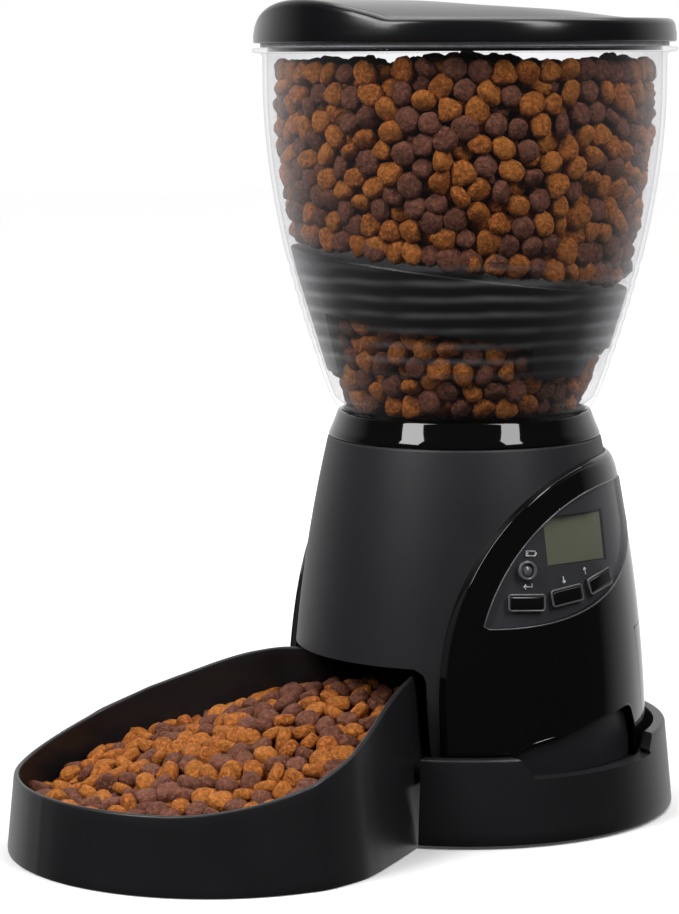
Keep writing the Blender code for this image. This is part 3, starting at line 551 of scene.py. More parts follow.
def scatter_tree():
    """One piece of food on every point, turned and sized by the point's attributes."""
    tree, group_in, group_out = new_tree("scatter_food", [
        ("Piece", 'NodeSocketObject'), ("Size", 'NodeSocketFloat'), ("Material", 'NodeSocketMaterial')])
    piece = tree.nodes.new('GeometryNodeObjectInfo')
    turn = tree.nodes.new('GeometryNodeInputNamedAttribute')
    turn.data_type = 'FLOAT_VECTOR'
    turn.inputs["Name"].default_value = "turn"
    spin = tree.nodes.new('FunctionNodeEulerToRotation')
    share = tree.nodes.new('GeometryNodeInputNamedAttribute')
    share.data_type = 'FLOAT'
    share.inputs["Name"].default_value = "share"
    size = tree.nodes.new('ShaderNodeMath')
    size.operation = 'MULTIPLY'
    place = tree.nodes.new('GeometryNodeInstanceOnPoints')
    tree.links.new(group_in.outputs["Piece"], piece.inputs["Object"])
    tree.links.new(group_in.outputs["Geometry"], place.inputs["Points"])
    tree.links.new(piece.outputs["Geometry"], place.inputs["Instance"])
    tree.links.new(turn.outputs["Attribute"], spin.inputs["Euler"])
    tree.links.new(spin.outputs["Rotation"], place.inputs["Rotation"])
    tree.links.new(group_in.outputs["Size"], size.inputs[0])
    tree.links.new(share.outputs["Attribute"], size.inputs[1])
    tree.links.new(size.outputs["Value"], place.inputs["Scale"])
    return closing(tree, place.outputs["Instances"], group_in, group_out)


def ripple_tree():
    """Level ripples pressed into a turned wall between two heights."""
    tree, group_in, group_out = new_tree("wall_ripples", [
        ("Depth", 'NodeSocketFloat'), ("Spacing", 'NodeSocketFloat'), ("Lowest", 'NodeSocketFloat'),
        ("Highest", 'NodeSocketFloat'), ("Material", 'NodeSocketMaterial')])

    def math_node(operation, *values):
        node = tree.nodes.new('ShaderNodeMath')
        node.operation = operation
        for index, value in enumerate(values):
            if isinstance(value, (int, float)):
                node.inputs[index].default_value = value
            else:
                tree.links.new(value, node.inputs[index])
        return node.outputs["Value"]

    position = tree.nodes.new('GeometryNodeInputPosition')
    parts = tree.nodes.new('ShaderNodeSeparateXYZ')
    tree.links.new(position.outputs["Position"], parts.inputs["Vector"])
    height = parts.outputs["Z"]
    above = math_node('SUBTRACT', height, group_in.outputs["Lowest"])
    turns = math_node('DIVIDE', above, group_in.outputs["Spacing"])
    wave = math_node('COSINE', math_node('MULTIPLY', turns, 2 * math.pi))
    dip = math_node('MULTIPLY', math_node('SUBTRACT', wave, 1.0), 0.5)
    inside = math_node('MULTIPLY',
                       math_node('GREATER_THAN', height, group_in.outputs["Lowest"]),
                       math_node('LESS_THAN', height, group_in.outputs["Highest"]))
    push = math_node('MULTIPLY', math_node('MULTIPLY', dip, inside), group_in.outputs["Depth"])
    level = tree.nodes.new('ShaderNodeCombineXYZ')
    tree.links.new(parts.outputs["X"], level.inputs["X"])
    tree.links.new(parts.outputs["Y"], level.inputs["Y"])
    unit = tree.nodes.new('ShaderNodeVectorMath')
    unit.operation = 'NORMALIZE'
    tree.links.new(level.outputs["Vector"], unit.inputs[0])
    scale = tree.nodes.new('ShaderNodeVectorMath')
    scale.operation = 'SCALE'
    tree.links.new(unit.outputs["Vector"], scale.inputs[0])
    tree.links.new(push, scale.inputs["Scale"])
    move = tree.nodes.new('GeometryNodeSetPosition')
    tree.links.new(group_in.outputs["Geometry"], move.inputs["Geometry"])
    tree.links.new(scale.outputs["Vector"], move.inputs["Offset"])
    return closing(tree, move.outputs["Geometry"], group_in, group_out)


def path_object(name, points, closed):
    """A chain of edges through the points."""
    mesh = bpy.data.meshes.new(name)
    edges = [(i, i + 1) for i in range(len(points) - 1)]
    if closed:
        edges.append((len(points) - 1, 0))
    mesh.from_pydata(points, edges, [])
    obj = bpy.data.objects.new(name, mesh)
    bpy.context.scene.collection.objects.link(obj)
    return obj


def bead(name, points, radius, material, closed=False, sides=12):
    """A round bead along the points."""
    obj = path_object(name, points, closed)
    tree = bpy.data.node_groups.get("bead_along_path") or bead_tree()
    return run_tree(obj, tree, {"Radius": radius, "Sides": sides, "Material": material})


# ---------------------------------------------------------------- materials
FINISHES = {}


def shader_material(name):
    """A new material with its Principled shader and Object coordinates."""
    material = bpy.data.materials.new("feeder_" + name)
    material.use_nodes = True
    nodes = material.node_tree.nodes
    shader = nodes["Principled BSDF"]
    coordinates = nodes.new('ShaderNodeTexCoord')
    return material, nodes, material.node_tree.links, shader, coordinates.outputs["Object"]


def add_noise(nodes, links, where, scale, detail=2.0, rough=0.5):
    """A noise texture of so many features per metre."""
    texture = nodes.new('ShaderNodeTexNoise')
    texture.inputs["Scale"].default_value = scale
    texture.inputs["Detail"].default_value = detail
    texture.inputs["Roughness"].default_value = rough
    links.new(where, texture.inputs["Vector"])
    return texture.outputs["Fac"]


def ranged(nodes, links, value, low, high, start=0.3, end=0.7):
    """Map a texture's usual values onto a range."""
    span = nodes.new('ShaderNodeMapRange')
    span.inputs["From Min"].default_value = start
    span.inputs["From Max"].default_value = end
    span.inputs["To Min"].default_value = low
    span.inputs["To Max"].default_value = high
    links.new(value, span.inputs["Value"])
    return span.outputs["Result"]


def blended(nodes, links, share, first, second):
    """Mix two colours, or colour outputs, by a share."""
    mix = nodes.new('ShaderNodeMix')
    mix.data_type = 'RGBA'
    links.new(share, mix.inputs[0])
    for socket, colour in ((mix.inputs[6], first), (mix.inputs[7], second)):
        if hasattr(colour, "links"):
            links.new(colour, socket)
        else:
            socket.default_value = (*colour, 1)
    return mix.outputs[2]


def moulded(name, colour, roughness, spread=0.04, grain=900.0, depth=0.00002, strength=0.25, lighter=1.35,
            metallic=0.0, coat=0.0, specular=0.36):
    """Moulded plastic or metal: fine grain, uneven gloss and slight colour variation."""
    material, nodes, links, shader, where = shader_material(name)
    broad = add_noise(nodes, links, where, 28.0, 3.0)
    fine = add_noise(nodes, links, where, grain, 3.0, 0.6)
    bright = tuple(min(1.0, c * lighter) for c in colour)
    tone = ranged(nodes, links, broad, 0.0, 1.0)
    links.new(blended(nodes, links, tone, colour, bright), shader.inputs["Base Color"])
    gloss = ranged(nodes, links, fine, roughness - spread, roughness + spread)
    links.new(gloss, shader.inputs["Roughness"])
    shader.inputs["Metallic"].default_value = metallic
    shader.inputs["Specular IOR Level"].default_value = specular
    shader.inputs["Coat Weight"].default_value = coat
    shader.inputs["Coat Roughness"].default_value = 0.05
    bump = nodes.new('ShaderNodeBump')
    bump.inputs["Strength"].default_value = strength
    bump.inputs["Distance"].default_value = depth
    links.new(fine, bump.inputs["Height"])
    links.new(bump.outputs["Normal"], shader.inputs["Normal"])
    return material


def polished(name, colour, roughness=0.035, wave=0.00022):
    """Polished plastic: mirror gloss with faint waviness and a little dust."""
    material, nodes, links, shader, where = shader_material(name)
    broad = add_noise(nodes, links, where, 16.0, 1.0)
    dust = add_noise(nodes, links, where, 1500.0, 2.0, 0.7)
    specks = ranged(nodes, links, dust, 0.0, 1.0, 0.70, 0.80)
    flecked = blended(nodes, links, specks, colour, tuple(c + 0.035 for c in colour))
    links.new(flecked, shader.inputs["Base Color"])
    links.new(ranged(nodes, links, dust, roughness, roughness + 0.12, 0.62, 0.82), shader.inputs["Roughness"])
    shader.inputs["Specular IOR Level"].default_value = 0.42
    bump = nodes.new('ShaderNodeBump')
    bump.inputs["Strength"].default_value = 0.35
    bump.inputs["Distance"].default_value = wave
    links.new(broad, bump.inputs["Height"])
    links.new(bump.outputs["Normal"], shader.inputs["Normal"])
    return material


def painted_ripple_glints(nodes, links, where, cover):
    """Paint level light streaks along the crests of the hopper's ripples: a painted highlight."""
    def step(operation, first, second):
        node = nodes.new('ShaderNodeMath')
        node.operation = operation
        for socket, value in zip(node.inputs, (first, second)):
            if hasattr(value, "links"):
                links.new(value, socket)
            else:
                socket.default_value = value
        return node.outputs[0]

    parts = nodes.new('ShaderNodeSeparateXYZ')
    links.new(where, parts.inputs[0])
    spacing = bpy.context.scene.feeder_sizes.ripple_spacing
    drift = step('MULTIPLY', add_noise(nodes, links, where, 22.0, 2.0), 0.0035)
    height = step('SUBTRACT', step('ADD', parts.outputs["Z"], drift), RIPPLE_FOOT + 0.0017)
    wave = step('ABSOLUTE', step('COSINE', step('MULTIPLY', height, math.pi / spacing), 0.0), 0.0)
    crest = step('POWER', wave, 5.0)
    low = ranged(nodes, links, height, 0.0, 1.0, -0.002, 0.006)
    high = ranged(nodes, links, height, 1.0, 0.0, RIPPLES * spacing - 0.004, RIPPLES * spacing + 0.003)
    patch = ranged(nodes, links, add_noise(nodes, links, where, 30.0, 2.0), 0.25, 1.0, 0.35, 0.62)
    # Painted highlight: the crest streaks add to the share of the light grey gloss, whatever the light.
    painted_glint = step('MULTIPLY', step('MULTIPLY', crest, patch), step('MULTIPLY', low, high))
    return step('ADD', cover, step('MULTIPLY', painted_glint, 0.115))


def see_through(name, colour, body, edge, roughness=0.03, ripples=False):
    """Clear plastic: thin when faced squarely, denser at its edges, with a full gloss.

    body and edge are how much of the plastic's own colour covers what is behind it.
    """
    material, nodes, links, shader, where = shader_material(name)
    cloud = add_noise(nodes, links, where, 40.0, 3.0)
    tone = ranged(nodes, links, cloud, 0.0, 1.0)
    clouded = blended(nodes, links, tone, colour, tuple(c * 0.93 for c in colour))
    links.new(clouded, shader.inputs["Base Color"])
    links.new(ranged(nodes, links, cloud, roughness, roughness + 0.03), shader.inputs["Roughness"])
    shader.inputs["Metallic"].default_value = 0.55
    weight = nodes.new('ShaderNodeLayerWeight')
    weight.inputs["Blend"].default_value = 0.28
    steep = nodes.new('ShaderNodeMath')
    steep.operation = 'POWER'
    steep.inputs[1].default_value = 1.6
    links.new(weight.outputs["Facing"], steep.inputs[0])
    cover = ranged(nodes, links, steep.outputs[0], body, edge, 0.0, 0.85)
    # Painted highlight: streaks of light painted along the ripples' crests.
    if ripples:
        cover = painted_ripple_glints(nodes, links, where, cover)
    clear = nodes.new('ShaderNodeBsdfTransparent')
    rim = ranged(nodes, links, steep.outputs[0], 0.0, 1.0, 0.50, 0.95)
    links.new(blended(nodes, links, rim, (0.985, 0.985, 0.99), (0.66, 0.67, 0.69)), clear.inputs["Color"])
    mix = nodes.new('ShaderNodeMixShader')
    links.new(cover, mix.inputs[0])
    links.new(clear.outputs[0], mix.inputs[1])
    links.new(shader.outputs[0], mix.inputs[2])
    links.new(mix.outputs[0], nodes["Material Output"].inputs["Surface"])
    bump = nodes.new('ShaderNodeBump')
    bump.inputs["Strength"].default_value = 0.3
    bump.inputs["Distance"].default_value = 0.0003
    links.new(cloud, bump.inputs["Height"])
    links.new(bump.outputs["Normal"], shader.inputs["Normal"])
    return material


def baked_food(name, colour, pale, dark):
    """Baked dry food: grainy, speckled, with painted shade in its pits, and each piece a little different."""
    material, nodes, links, shader, where = shader_material(name)
    tint = nodes.new('ShaderNodeAttribute')
    tint.attribute_name = "tint"
    grains = add_noise(nodes, links, where, 460.0, 4.0, 0.75)
    patches = add_noise(nodes, links, where, 230.0, 3.0, 0.6)
    cells = nodes.new('ShaderNodeTexVoronoi')
    cells.inputs["Scale"].default_value = 780.0
    links.new(where, cells.inputs["Vector"])
    base = blended(nodes, links, tint.outputs["Fac"], dark, pale)
    # Painted shade: the low points of the grain noise, which the bump also sinks, are darkened in the colour.
    painted_pit_shade = ranged(nodes, links, grains, 0.70, 0.0, 0.36, 0.50)
    uneven = blended(nodes, links, ranged(nodes, links, patches, 0.0, 0.75, 0.35, 0.7), base, colour)
    light = blended(nodes, links, ranged(nodes, links, grains, 0.0, 0.75, 0.50, 0.66), uneven,
                    tuple(min(1.0, c * 1.9 + 0.03) for c in colour))
    spots = ranged(nodes, links, cells.outputs["Distance"], 0.75, 0.0, 0.02, 0.32)
    with_pit_shade = blended(nodes, links, painted_pit_shade, light, tuple(c * 0.35 for c in colour))
    spotted = blended(nodes, links, spots, with_pit_shade, tuple(c * 0.30 for c in colour))
    links.new(spotted, shader.inputs["Base Color"])
    links.new(ranged(nodes, links, grains, 0.52, 0.78), shader.inputs["Roughness"])
    shader.inputs["Specular IOR Level"].default_value = 0.20
    bump = nodes.new('ShaderNodeBump')
    bump.inputs["Strength"].default_value = 1.0
    bump.inputs["Distance"].default_value = 0.0022
    links.new(grains, bump.inputs["Height"])
    links.new(bump.outputs["Normal"], shader.inputs["Normal"])
    return material


def make_materials(colours):
    """Every finish of the feeder, by name."""
    finishes = {
        "matte_black": moulded("matte_black", colours.tower, 0.46, 0.04, 1600.0, 0.00003, 0.30),
        "satin_black": moulded("satin_black", colours.bowl, 0.36, 0.03, 2200.0, 0.000003, 0.10),
        "pale_silicone": moulded("pale_silicone", (0.50, 0.51, 0.53), 0.40, 0.03, 1400.0, 0.00001, 0.10),
        "lid_black": moulded("lid_black", colours.lid, 0.20, 0.02, 1600.0, 0.000006, 0.10),
        "dark_inside": moulded("dark_inside", (0.006, 0.006, 0.007), 0.42, 0.05, 700.0, 0.00002, 0.2),
        "gloss_black": polished("gloss_black", colours.cover),
        "key_black": polished("key_black", tuple(c * 1.4 for c in colours.cover), 0.08),
        "clear_plastic": see_through("clear_plastic", colours.hopper, 0.006, 0.40, ripples=True),
        "smoked_window": see_through("smoked_window", (0.10, 0.10, 0.107), 0.22, 0.60, 0.03),
        "panel_grey": moulded("panel_grey", (0.068, 0.070, 0.076), 0.40, 0.04, 1200.0, 0.00002, 0.2),
        "trim_grey": moulded("trim_grey", (0.085, 0.085, 0.092), 0.12, 0.03, 900.0, 0.00001, 0.1),
        "lcd_glass": moulded("lcd_glass", colours.display, 0.12, 0.02, 2500.0, 0.00001, 0.05, 1.12, coat=0.5),
        "light_pipe": moulded("light_pipe", (0.10, 0.10, 0.11), 0.06, 0.02, 900.0, 0.00001, 0.1, coat=0.4),
        "printed_white": moulded("printed_white", (0.62, 0.62, 0.61), 0.50, 0.05, 1800.0, 0.00001, 0.2),
        "circuit_board": moulded("circuit_board", (0.02, 0.13, 0.05), 0.42, 0.05, 500.0, 0.00003, 0.3),
        "steel": moulded("steel", (0.60, 0.60, 0.62), 0.26, 0.06, 1200.0, 0.00002, 0.2, 1.1, metallic=1.0),
        "rubber": moulded("rubber", (0.022, 0.022, 0.022), 0.78, 0.06, 1100.0, 0.00006, 0.4),
        "nylon": moulded("nylon", (0.70, 0.69, 0.64), 0.42, 0.05, 700.0, 0.00002, 0.2, 1.08),
        "cell_wrap": moulded("cell_wrap", (0.28, 0.17, 0.05), 0.25, 0.04, 300.0, 0.00002, 0.1, coat=0.3),
    }
    amber, brown = colours.amber_food, colours.brown_food
    finishes["amber_kibble"] = baked_food("amber_kibble", amber, (0.54, 0.195, 0.034), (0.27, 0.066, 0.009))
    finishes["brown_kibble"] = baked_food("brown_kibble", brown, (0.235, 0.092, 0.055), (0.105, 0.032, 0.017))
    # Painted shade: a very dark food colour for the cores that stand in for the shaded food deep in the
    # heaps.
    finishes["deep_kibble"] = baked_food("deep_kibble", (0.030, 0.011, 0.006), (0.040, 0.014, 0.006),
                                         (0.018, 0.007, 0.004))
    return finishes


def finish_named(name):
    """A finish made by make_materials, made on first use."""
    if not FINISHES:
        FINISHES.update(make_materials(bpy.context.scene.feeder_colours))
    return FINISHES[name]


# ---------------------------------------------------------------- platform and bowl
def build_platform():
    """Skirted platform with a rim, a well, foot bosses and a bay for the bowl."""
    wall = 0.0026
    rim_round = 0.0016
    profile = [(0, DECK_TOP), (WELL_RADIUS - 0.0012, DECK_TOP), (WELL_RADIUS - 0.0004, DECK_TOP + 0.0004),
               (WELL_RADIUS, DECK_TOP + 0.0012), (WELL_RADIUS, BASE_TOP - 0.0008),
               (WELL_RADIUS + 0.0003, BASE_TOP - 0.0002), (WELL_RADIUS + 0.0009, BASE_TOP)]
    for turn in spaced(90, 4, 8):
        bearing = math.radians(turn)
        profile.append((BASE_TOP_RADIUS + 0.0002 - rim_round + rim_round * math.cos(bearing),
                        BASE_TOP - rim_round + rim_round * math.sin(bearing)))
    profile += [(BASE_TOP_RADIUS + 0.0002 + (BASE_RADIUS - BASE_TOP_RADIUS - 0.0002) * share,
                 BASE_TOP - rim_round - (BASE_TOP - rim_round - BASE_FOOT - 0.0008) * share)
                for share in spaced(0.1, 1.0, 6)]
    profile += [(BASE_RADIUS - 0.0003, BASE_FOOT + 0.0002), (BASE_RADIUS - 0.0009, BASE_FOOT),
                (BASE_RADIUS - wall, BASE_FOOT), (BASE_TOP_RADIUS - wall, DECK_TOP - wall),
                 (0, DECK_TOP - wall)]
    platform = turned("platform", profile)
    for angle in (62, 135, 225, 298):
        boss = [(0, DECK_TOP - 0.001), (0.008, DECK_TOP - 0.001), (0.008, 0.0026), (0, 0.0026)]
        combine(platform, turned("boss", boss, 32, toward(angle, 0.086)), 'UNION')
    combine(platform, prism("bay", bowl_plan(-0.0006), -0.01, 0.06))
    notch = smoothed([(-0.0425, 0.0500), (-0.0412, 0.0445), (-0.0395, 0.0430), (-0.0340, 0.0350),
                      (-0.0300, 0.0335), (0.0400, 0.0340), (0.0450, 0.0365), (0.0488, 0.0425),
                      (0.0500, 0.0445), (0.0510, 0.0500)], 4)
    combine(platform, prism("notch", notch, 0.080, 0.120, 'X'))
    combine(platform, prism("notch", notch, -0.120, -0.080, 'X'))
    smooth(platform, 32)
    finish(platform, "base", "satin_black", finish_named("satin_black"), "base_platform")


def bowl_ring(inset, height):
    """Level of the bowl's leaning wall: height is a share of the rim, or (metres,)."""
    points = []
    flat = isinstance(height, tuple)
    plan = bowl_plan()
    rims = [bowl_rim_height(y) for _, y in plan]
    if flat:
        return [(x, y, height[0]) for x, y in bowl_plan(inset + BOWL_LEAN * height[0])]
    count = len(plan)
    for i, (x, y) in enumerate(plan):
        before, after = plan[i - 1], plan[(i + 1) % count]
        run = Vector((after[0] - before[0], after[1] - before[1])).normalized()
        z = rims[i] * height
        reach = inset + BOWL_LEAN * z
        points.append((x - run.y * reach, y + run.x * reach, z))
    return points


def build_bowl():
    """Pull-out bowl: leaning wall, rounded rim, filleted floor."""
    round_radius = BOWL_WALL / 2
    rings = [bowl_ring(0.0010, (0.0,)), bowl_ring(0.0002, (0.0004,)), bowl_ring(0.0, (0.0014,))]
    rings += [bowl_ring(0.0, share) for share in spaced(0.10, 0.94, 9)]
    for turn in spaced(0, 180, 10):
        bearing = math.radians(turn)
        inset = round_radius * (1 - math.cos(bearing))
        lift = round_radius * (math.sin(bearing) - 1)
        rings.append([(x, y, z + lift) for x, y, z in bowl_ring(inset, 1.0)])
    rings += [bowl_ring(BOWL_WALL, share) for share in spaced(0.94, 0.30, 7)]
    fillet = 0.006
    for turn in spaced(0, 90, 5):
        bearing = math.radians(turn)
        rings.append(bowl_ring(BOWL_WALL + fillet * (1 - math.cos(bearing)),
                               (0.0035 + fillet * (1 - math.sin(bearing)),)))
    bowl = stacked("food_bowl", rings)
    smooth(bowl, 40)
    finish(bowl, "bowl", "satin_black", finish_named("satin_black"), "bowl")


# ---------------------------------------------------------------- tower, cover and collar
def build_tower():
    """Matte inner tower with the bowl's mouth and the panel opening."""
    heights = spaced(DECK_TOP + GAP, TOWER_TOP - 0.0010, 30)
    flange = 0.0028
    profile = [(0.058, TOWER_TOP), (tower_radius(TOWER_TOP) - 0.0008, TOWER_TOP)]
    profile += [(tower_radius(z), z) for z in reversed(heights)]
    profile += [(tower_radius(z) - TOWER_WALL, z) for z in heights[:-1]]
    profile += [(tower_radius(TOWER_TOP) - TOWER_WALL, TOWER_TOP - flange), (0.058, TOWER_TOP - flange)]
    tower = turned("tower", profile)
    mouth = [(-0.0625, 0.030), (0.0625, 0.030), (0.0592, 0.045), (0.0560, 0.0790), (0.0545, 0.0825),
             (0.0505, 0.0850), (-0.0505, 0.0850), (-0.0545, 0.0825), (-0.0560, 0.0790), (-0.0592, 0.045)]
    combine(tower, prism("mouth", mouth, -0.110, -0.030, 'Y'))
    combine(tower, prism("panel_opening", window_outline(0.0045), 0.040, 0.110, 'X'))
    hatch = [(-0.0440, 0.0465), (0.0440, 0.0465), (0.0440, 0.0940), (-0.0440, 0.0940)]
    combine(tower, prism("hatch", hatch, 0.060, 0.110, 'Y'))
    for tool in panel_cutters(False):
        combine(tower, tool)
    true_skin(tower, tower_radius)
    finish(tower, "base", "matte_black", finish_named("matte_black"), "tower_shell")


def shell_between(name, outer, inner, low, high, steps=24):
    """A shell of the tower's form between two offsets from its surface."""
    heights = spaced(low, high, steps)
    profile = [(tower_radius(z) + outer, z) for z in reversed(heights)]
    profile += [(tower_radius(z) + inner, z) for z in heights]
    return turned(name, profile)


def build_side_cover(sizes):
    """Glossy cover round the sides and back, with a bead along its open edges."""
    shoulder_foot, shoulder_top = 0.174, 0.1838
    heights = spaced(DECK_TOP + GAP, shoulder_foot, 28)
    profile = [(tower_radius(shoulder_top) + GAP + 0.0002, shoulder_top)]
    for turn in spaced(78, 0, 8):
        bearing = math.radians(turn)
        z = shoulder_foot + (shoulder_top - shoulder_foot) * math.sin(bearing)
        profile.append((tower_radius(z) + GAP + (SKIN_PROUD - GAP) * math.cos(bearing) ** 0.8, z))
    profile += [(tower_radius(z) + SKIN_PROUD, z) for z in reversed(heights[:-1])]
    profile += [(tower_radius(z) + GAP, z) for z in heights]
    profile.append((tower_radius(shoulder_top) + GAP, shoulder_top - 0.0006))
    cover = turned("cover", profile)
    combine(cover, prism("sweep", arch_outline(), -0.120, 0.120, 'X'), 'INTERSECT')
    grip = grip_outline()
    combine(cover, prism("grip", grip + [(0.0475, 0.020), (-0.0365, 0.020)], 0.060, 0.120, 'X'))
    combine(cover, prism("grip", grip + [(0.0475, 0.020), (-0.0365, 0.020)], -0.120, -0.060, 'X'))
    combine(cover, prism("window", window_outline(), 0.030, 0.120, 'X'))
    hatch = [(-DOOR_HALF_WIDTH, DOOR_BOTTOM), (DOOR_HALF_WIDTH, DOOR_BOTTOM),
             (DOOR_HALF_WIDTH, DOOR_TOP), (-DOOR_HALF_WIDTH, DOOR_TOP)]
    combine(cover, prism("hatch", hatch, 0.030, 0.120, 'Y'))
    true_skin(cover, tower_radius)
    gloss = finish_named("gloss_black")
    finish(cover, "base", "gloss_black", gloss, "side_cover")

    radius = sizes.lip_radius
    sunk = SKIN_PROUD - radius * 0.75
    edge = []
    for side in (1, -1):
        run = [on_tower(*arch_point(turn, radius * 0.8), side, sunk) for turn in spaced(0, 82, 96)]
        edge.append(bead("lip_run", [(run[0][0], run[0][1], DECK_TOP + 0.002)] + run, radius, gloss))
    lip = joined("cover_lip", edge)
    smooth(lip, 60)
    finish(lip, "base", "gloss_black", gloss)
    arches = []
    for side in (1, -1):
        run = [on_tower(y, z, side, SKIN_PROUD - 0.0006) for y, z in grip[2:-2]]
        arches.append(bead("grip_run", run, 0.0008, gloss))
    edging = joined("grip_edging", arches)
    smooth(edging, 60)
    finish(edging, "base", "gloss_black", gloss)


def grip_outline():
    """Side view of the hand hold's arch in the cover."""
    return smoothed([(-0.0365, 0.0310), (-0.0350, 0.0420), (-0.0310, 0.0465), (-0.0230, 0.0492),
                     (-0.0110, 0.0515), (0.0060, 0.0555), (0.0270, 0.0585), (0.0360, 0.0595),
                     (0.0400, 0.0585), (0.0425, 0.0555), (0.0465, 0.0450), (0.0475, 0.0310)], 5)


def build_battery_door():
    """Curved battery door at the back with a finger pull."""
    door = shell_between("back_door", SKIN_PROUD, 0.0016, DOOR_BOTTOM - 0.004, DOOR_TOP + 0.004)
    half = DOOR_HALF_WIDTH - GAP
    corner = 0.002
    outline = []
    for centre_x, centre_z, start in ((half, DOOR_TOP, 0), (-half, DOOR_TOP, 90),
                                      (-half, DOOR_BOTTOM, 180), (half, DOOR_BOTTOM, 270)):
        for turn in spaced(start, start + 90, 5):
            bearing = math.radians(turn)
            inset_x = math.copysign(corner, centre_x)
            inset_z = corner + GAP if centre_z == DOOR_TOP else -corner - GAP
            outline.append((centre_x - inset_x + corner * math.cos(bearing),
                            centre_z - inset_z + corner * math.sin(bearing)))
    combine(door, prism("edge", outline, 0.030, 0.120, 'Y'), 'INTERSECT')
    pull = [(0, 0.098), (0.0110, 0.098), (0.0110, 0.081), (0, 0.081)]
    combine(door, turned("pull", pull, 64, (0, tower_radius(0.086) + 0.0138)))
    true_skin(door, tower_radius)
    finish(door, "battery_door", "gloss_black", finish_named("gloss_black"), "battery_door")


def build_collar():
    """Glossy ring that carries the hopper's neck."""
    profile = [(0.0628, COLLAR_TOP - 0.0006), (0.0632, COLLAR_TOP), (0.0640, COLLAR_TOP)]
    profile += [(0.0640 + 0.0014 * math.sin(math.radians(turn)),
                 COLLAR_TOP - 0.0014 * (1 - math.cos(math.radians(turn)))) for turn in spaced(15, 75, 5)]
    profile += [(0.0668, COLLAR_TOP - 0.0050), (0.0684, COLLAR_TOP - 0.0088),
                (0.0697, TOWER_TOP + 0.0014), (0.0697, TOWER_TOP + 0.0008), (0.0693, TOWER_TOP + GAP),
                (0.0560, TOWER_TOP + GAP), (0.0560, TOWER_TOP + 0.0025), (0.0628, TOWER_TOP + 0.0025)]
    collar = turned("collar", profile)
    smooth(collar, 40)
    finish(collar, "base", "gloss_black", finish_named("gloss_black"), "collar_ring")


# ---------------------------------------------------------------- control panel
def panel_cutters(through_window):
    """Holes for the keys and the lamp, and for the display behind the window."""
    cutters = []
    half_w, half_h = BUTTON_SIZE[0] / 2 + 0.0004, BUTTON_SIZE[1] / 2 + 0.0004
    for angle, height, roll in BUTTONS.values():
        place = outward(angle, height, roll)
        cutters.append(block("hole", (-half_w, -half_h, -0.008), (half_w, half_h, 0.010), place, 0.0012))
    lamp = turned("hole", [(0, 0.008), (0.0039, 0.008), (0.0039, -0.006), (0, -0.006)], 40)
    lamp.data.transform(outward(LED_ANGLE, LED_HEIGHT))
    cutters.append(lamp)
    if not through_window:
        left, right = LCD_SHIFT - 0.0203, LCD_SHIFT + 0.0203
        deep = LCD_DISTANCE - tower_radius(PANEL_HEIGHT) - 0.0115
        cutters.append(block("hole", (left, -0.0123, deep), (right, 0.0123, 0.010),
                             outward(PANEL_ANGLE, PANEL_HEIGHT)))
    return cutters


def build_window():
    """Smoked window, the dark panel behind it and the bright edge round it."""
    window = shell_between("window", SKIN_PROUD + 0.0003, 0.0026, 0.100, 0.176)
    combine(window, prism("edge", window_outline(GAP), 0.030, 0.120, 'X'), 'INTERSECT')
    for tool in panel_cutters(True):
        combine(window, tool)
    true_skin(window, tower_radius)
    finish(window, "base", "smoked_window", finish_named("smoked_window"), "control_window")

    panel = shell_between("panel", 0.0023, 0.0009, 0.100, 0.176)
    combine(panel, prism("edge", window_outline(0.0008), 0.030, 0.120, 'X'), 'INTERSECT')
    for tool in panel_cutters(False):
        combine(panel, tool)
    true_skin(panel, tower_radius)
    finish(panel, "base", "panel_grey", finish_named("panel_grey"), "control_bezel")

    trim = finish_named("trim_grey")
    path = [on_tower(y, z, 1, SKIN_PROUD + 0.0001) for y, z in window_outline(0.0004)]
    edge = bead("window_edge", path, 0.00042, trim, closed=True, sides=10)
    smooth(edge, 60)
    finish(edge, "base", "panel_grey", trim)


def build_display():
    """Display glass with near-black rails round it that paint the shade at its edges, with the lamp beside
    it.
    """
    place = outward(PANEL_ANGLE, PANEL_HEIGHT)
    face = LCD_DISTANCE - tower_radius(PANEL_HEIGHT)
    left, right = LCD_SHIFT - 0.0200, LCD_SHIFT + 0.0200
    glass = block("display_glass", (left, -0.0120, face - 0.0100), (right, 0.0120, face), place, 0.0004)
    smooth(glass, 30)
    finish(glass, "base", "lcd_glass", finish_named("lcd_glass"), "lcd_display")

    # Painted shade: near-black rails round the display glass stand in for the shade at the edges of its sunk
    # seat.
    rail = 0.0011
    sides = [((left - rail, 0.0120, face), (right + rail, 0.0120 + rail, face + 0.0006)),
             ((left - rail, -0.0120 - rail, face), (right + rail, -0.0120, face + 0.0006)),
             ((left - rail, -0.0120, face), (left, 0.0120, face + 0.0006)),
             ((right, -0.0120, face), (right + rail, 0.0120, face + 0.0006))]
    bars = [block("rail", low, high, place, 0.00015, 2) for low, high in sides]
    shade_rails = joined("display_surround", bars)
    smooth(shade_rails, 30)
    finish(shade_rails, "base", "panel_grey", finish_named("dark_inside"))

    lamp = outward(LED_ANGLE, LED_HEIGHT)
    collar = [(0.0034, 0.0062), (0.0038, 0.0065), (0.0044, 0.0065), (0.0048, 0.0062), (0.0050, 0.0057),
              (0.0050, 0.0052), (0.0036, 0.0052), (0.0036, 0.0012), (0.0034, 0.0012)]
    ring = turned("lamp_collar", collar, 48)
    ring.data.transform(lamp)
    smooth(ring, 40)
    finish(ring, "base", "gloss_black", finish_named("trim_grey"), "lamp_ring")
    dome = [(0.0031 * math.sin(math.radians(turn)), 0.0040 + 0.0020 * math.cos(math.radians(turn)))
            for turn in spaced(0, 90, 8)]
    pipe = turned("lamp_dome", dome + [(0.0031, -0.0040), (0, -0.0040)], 40)
    pipe.data.transform(lamp)
    smooth(pipe, 40)
    finish(pipe, "base", "light_pipe", finish_named("light_pipe"), "indicator_lamp")


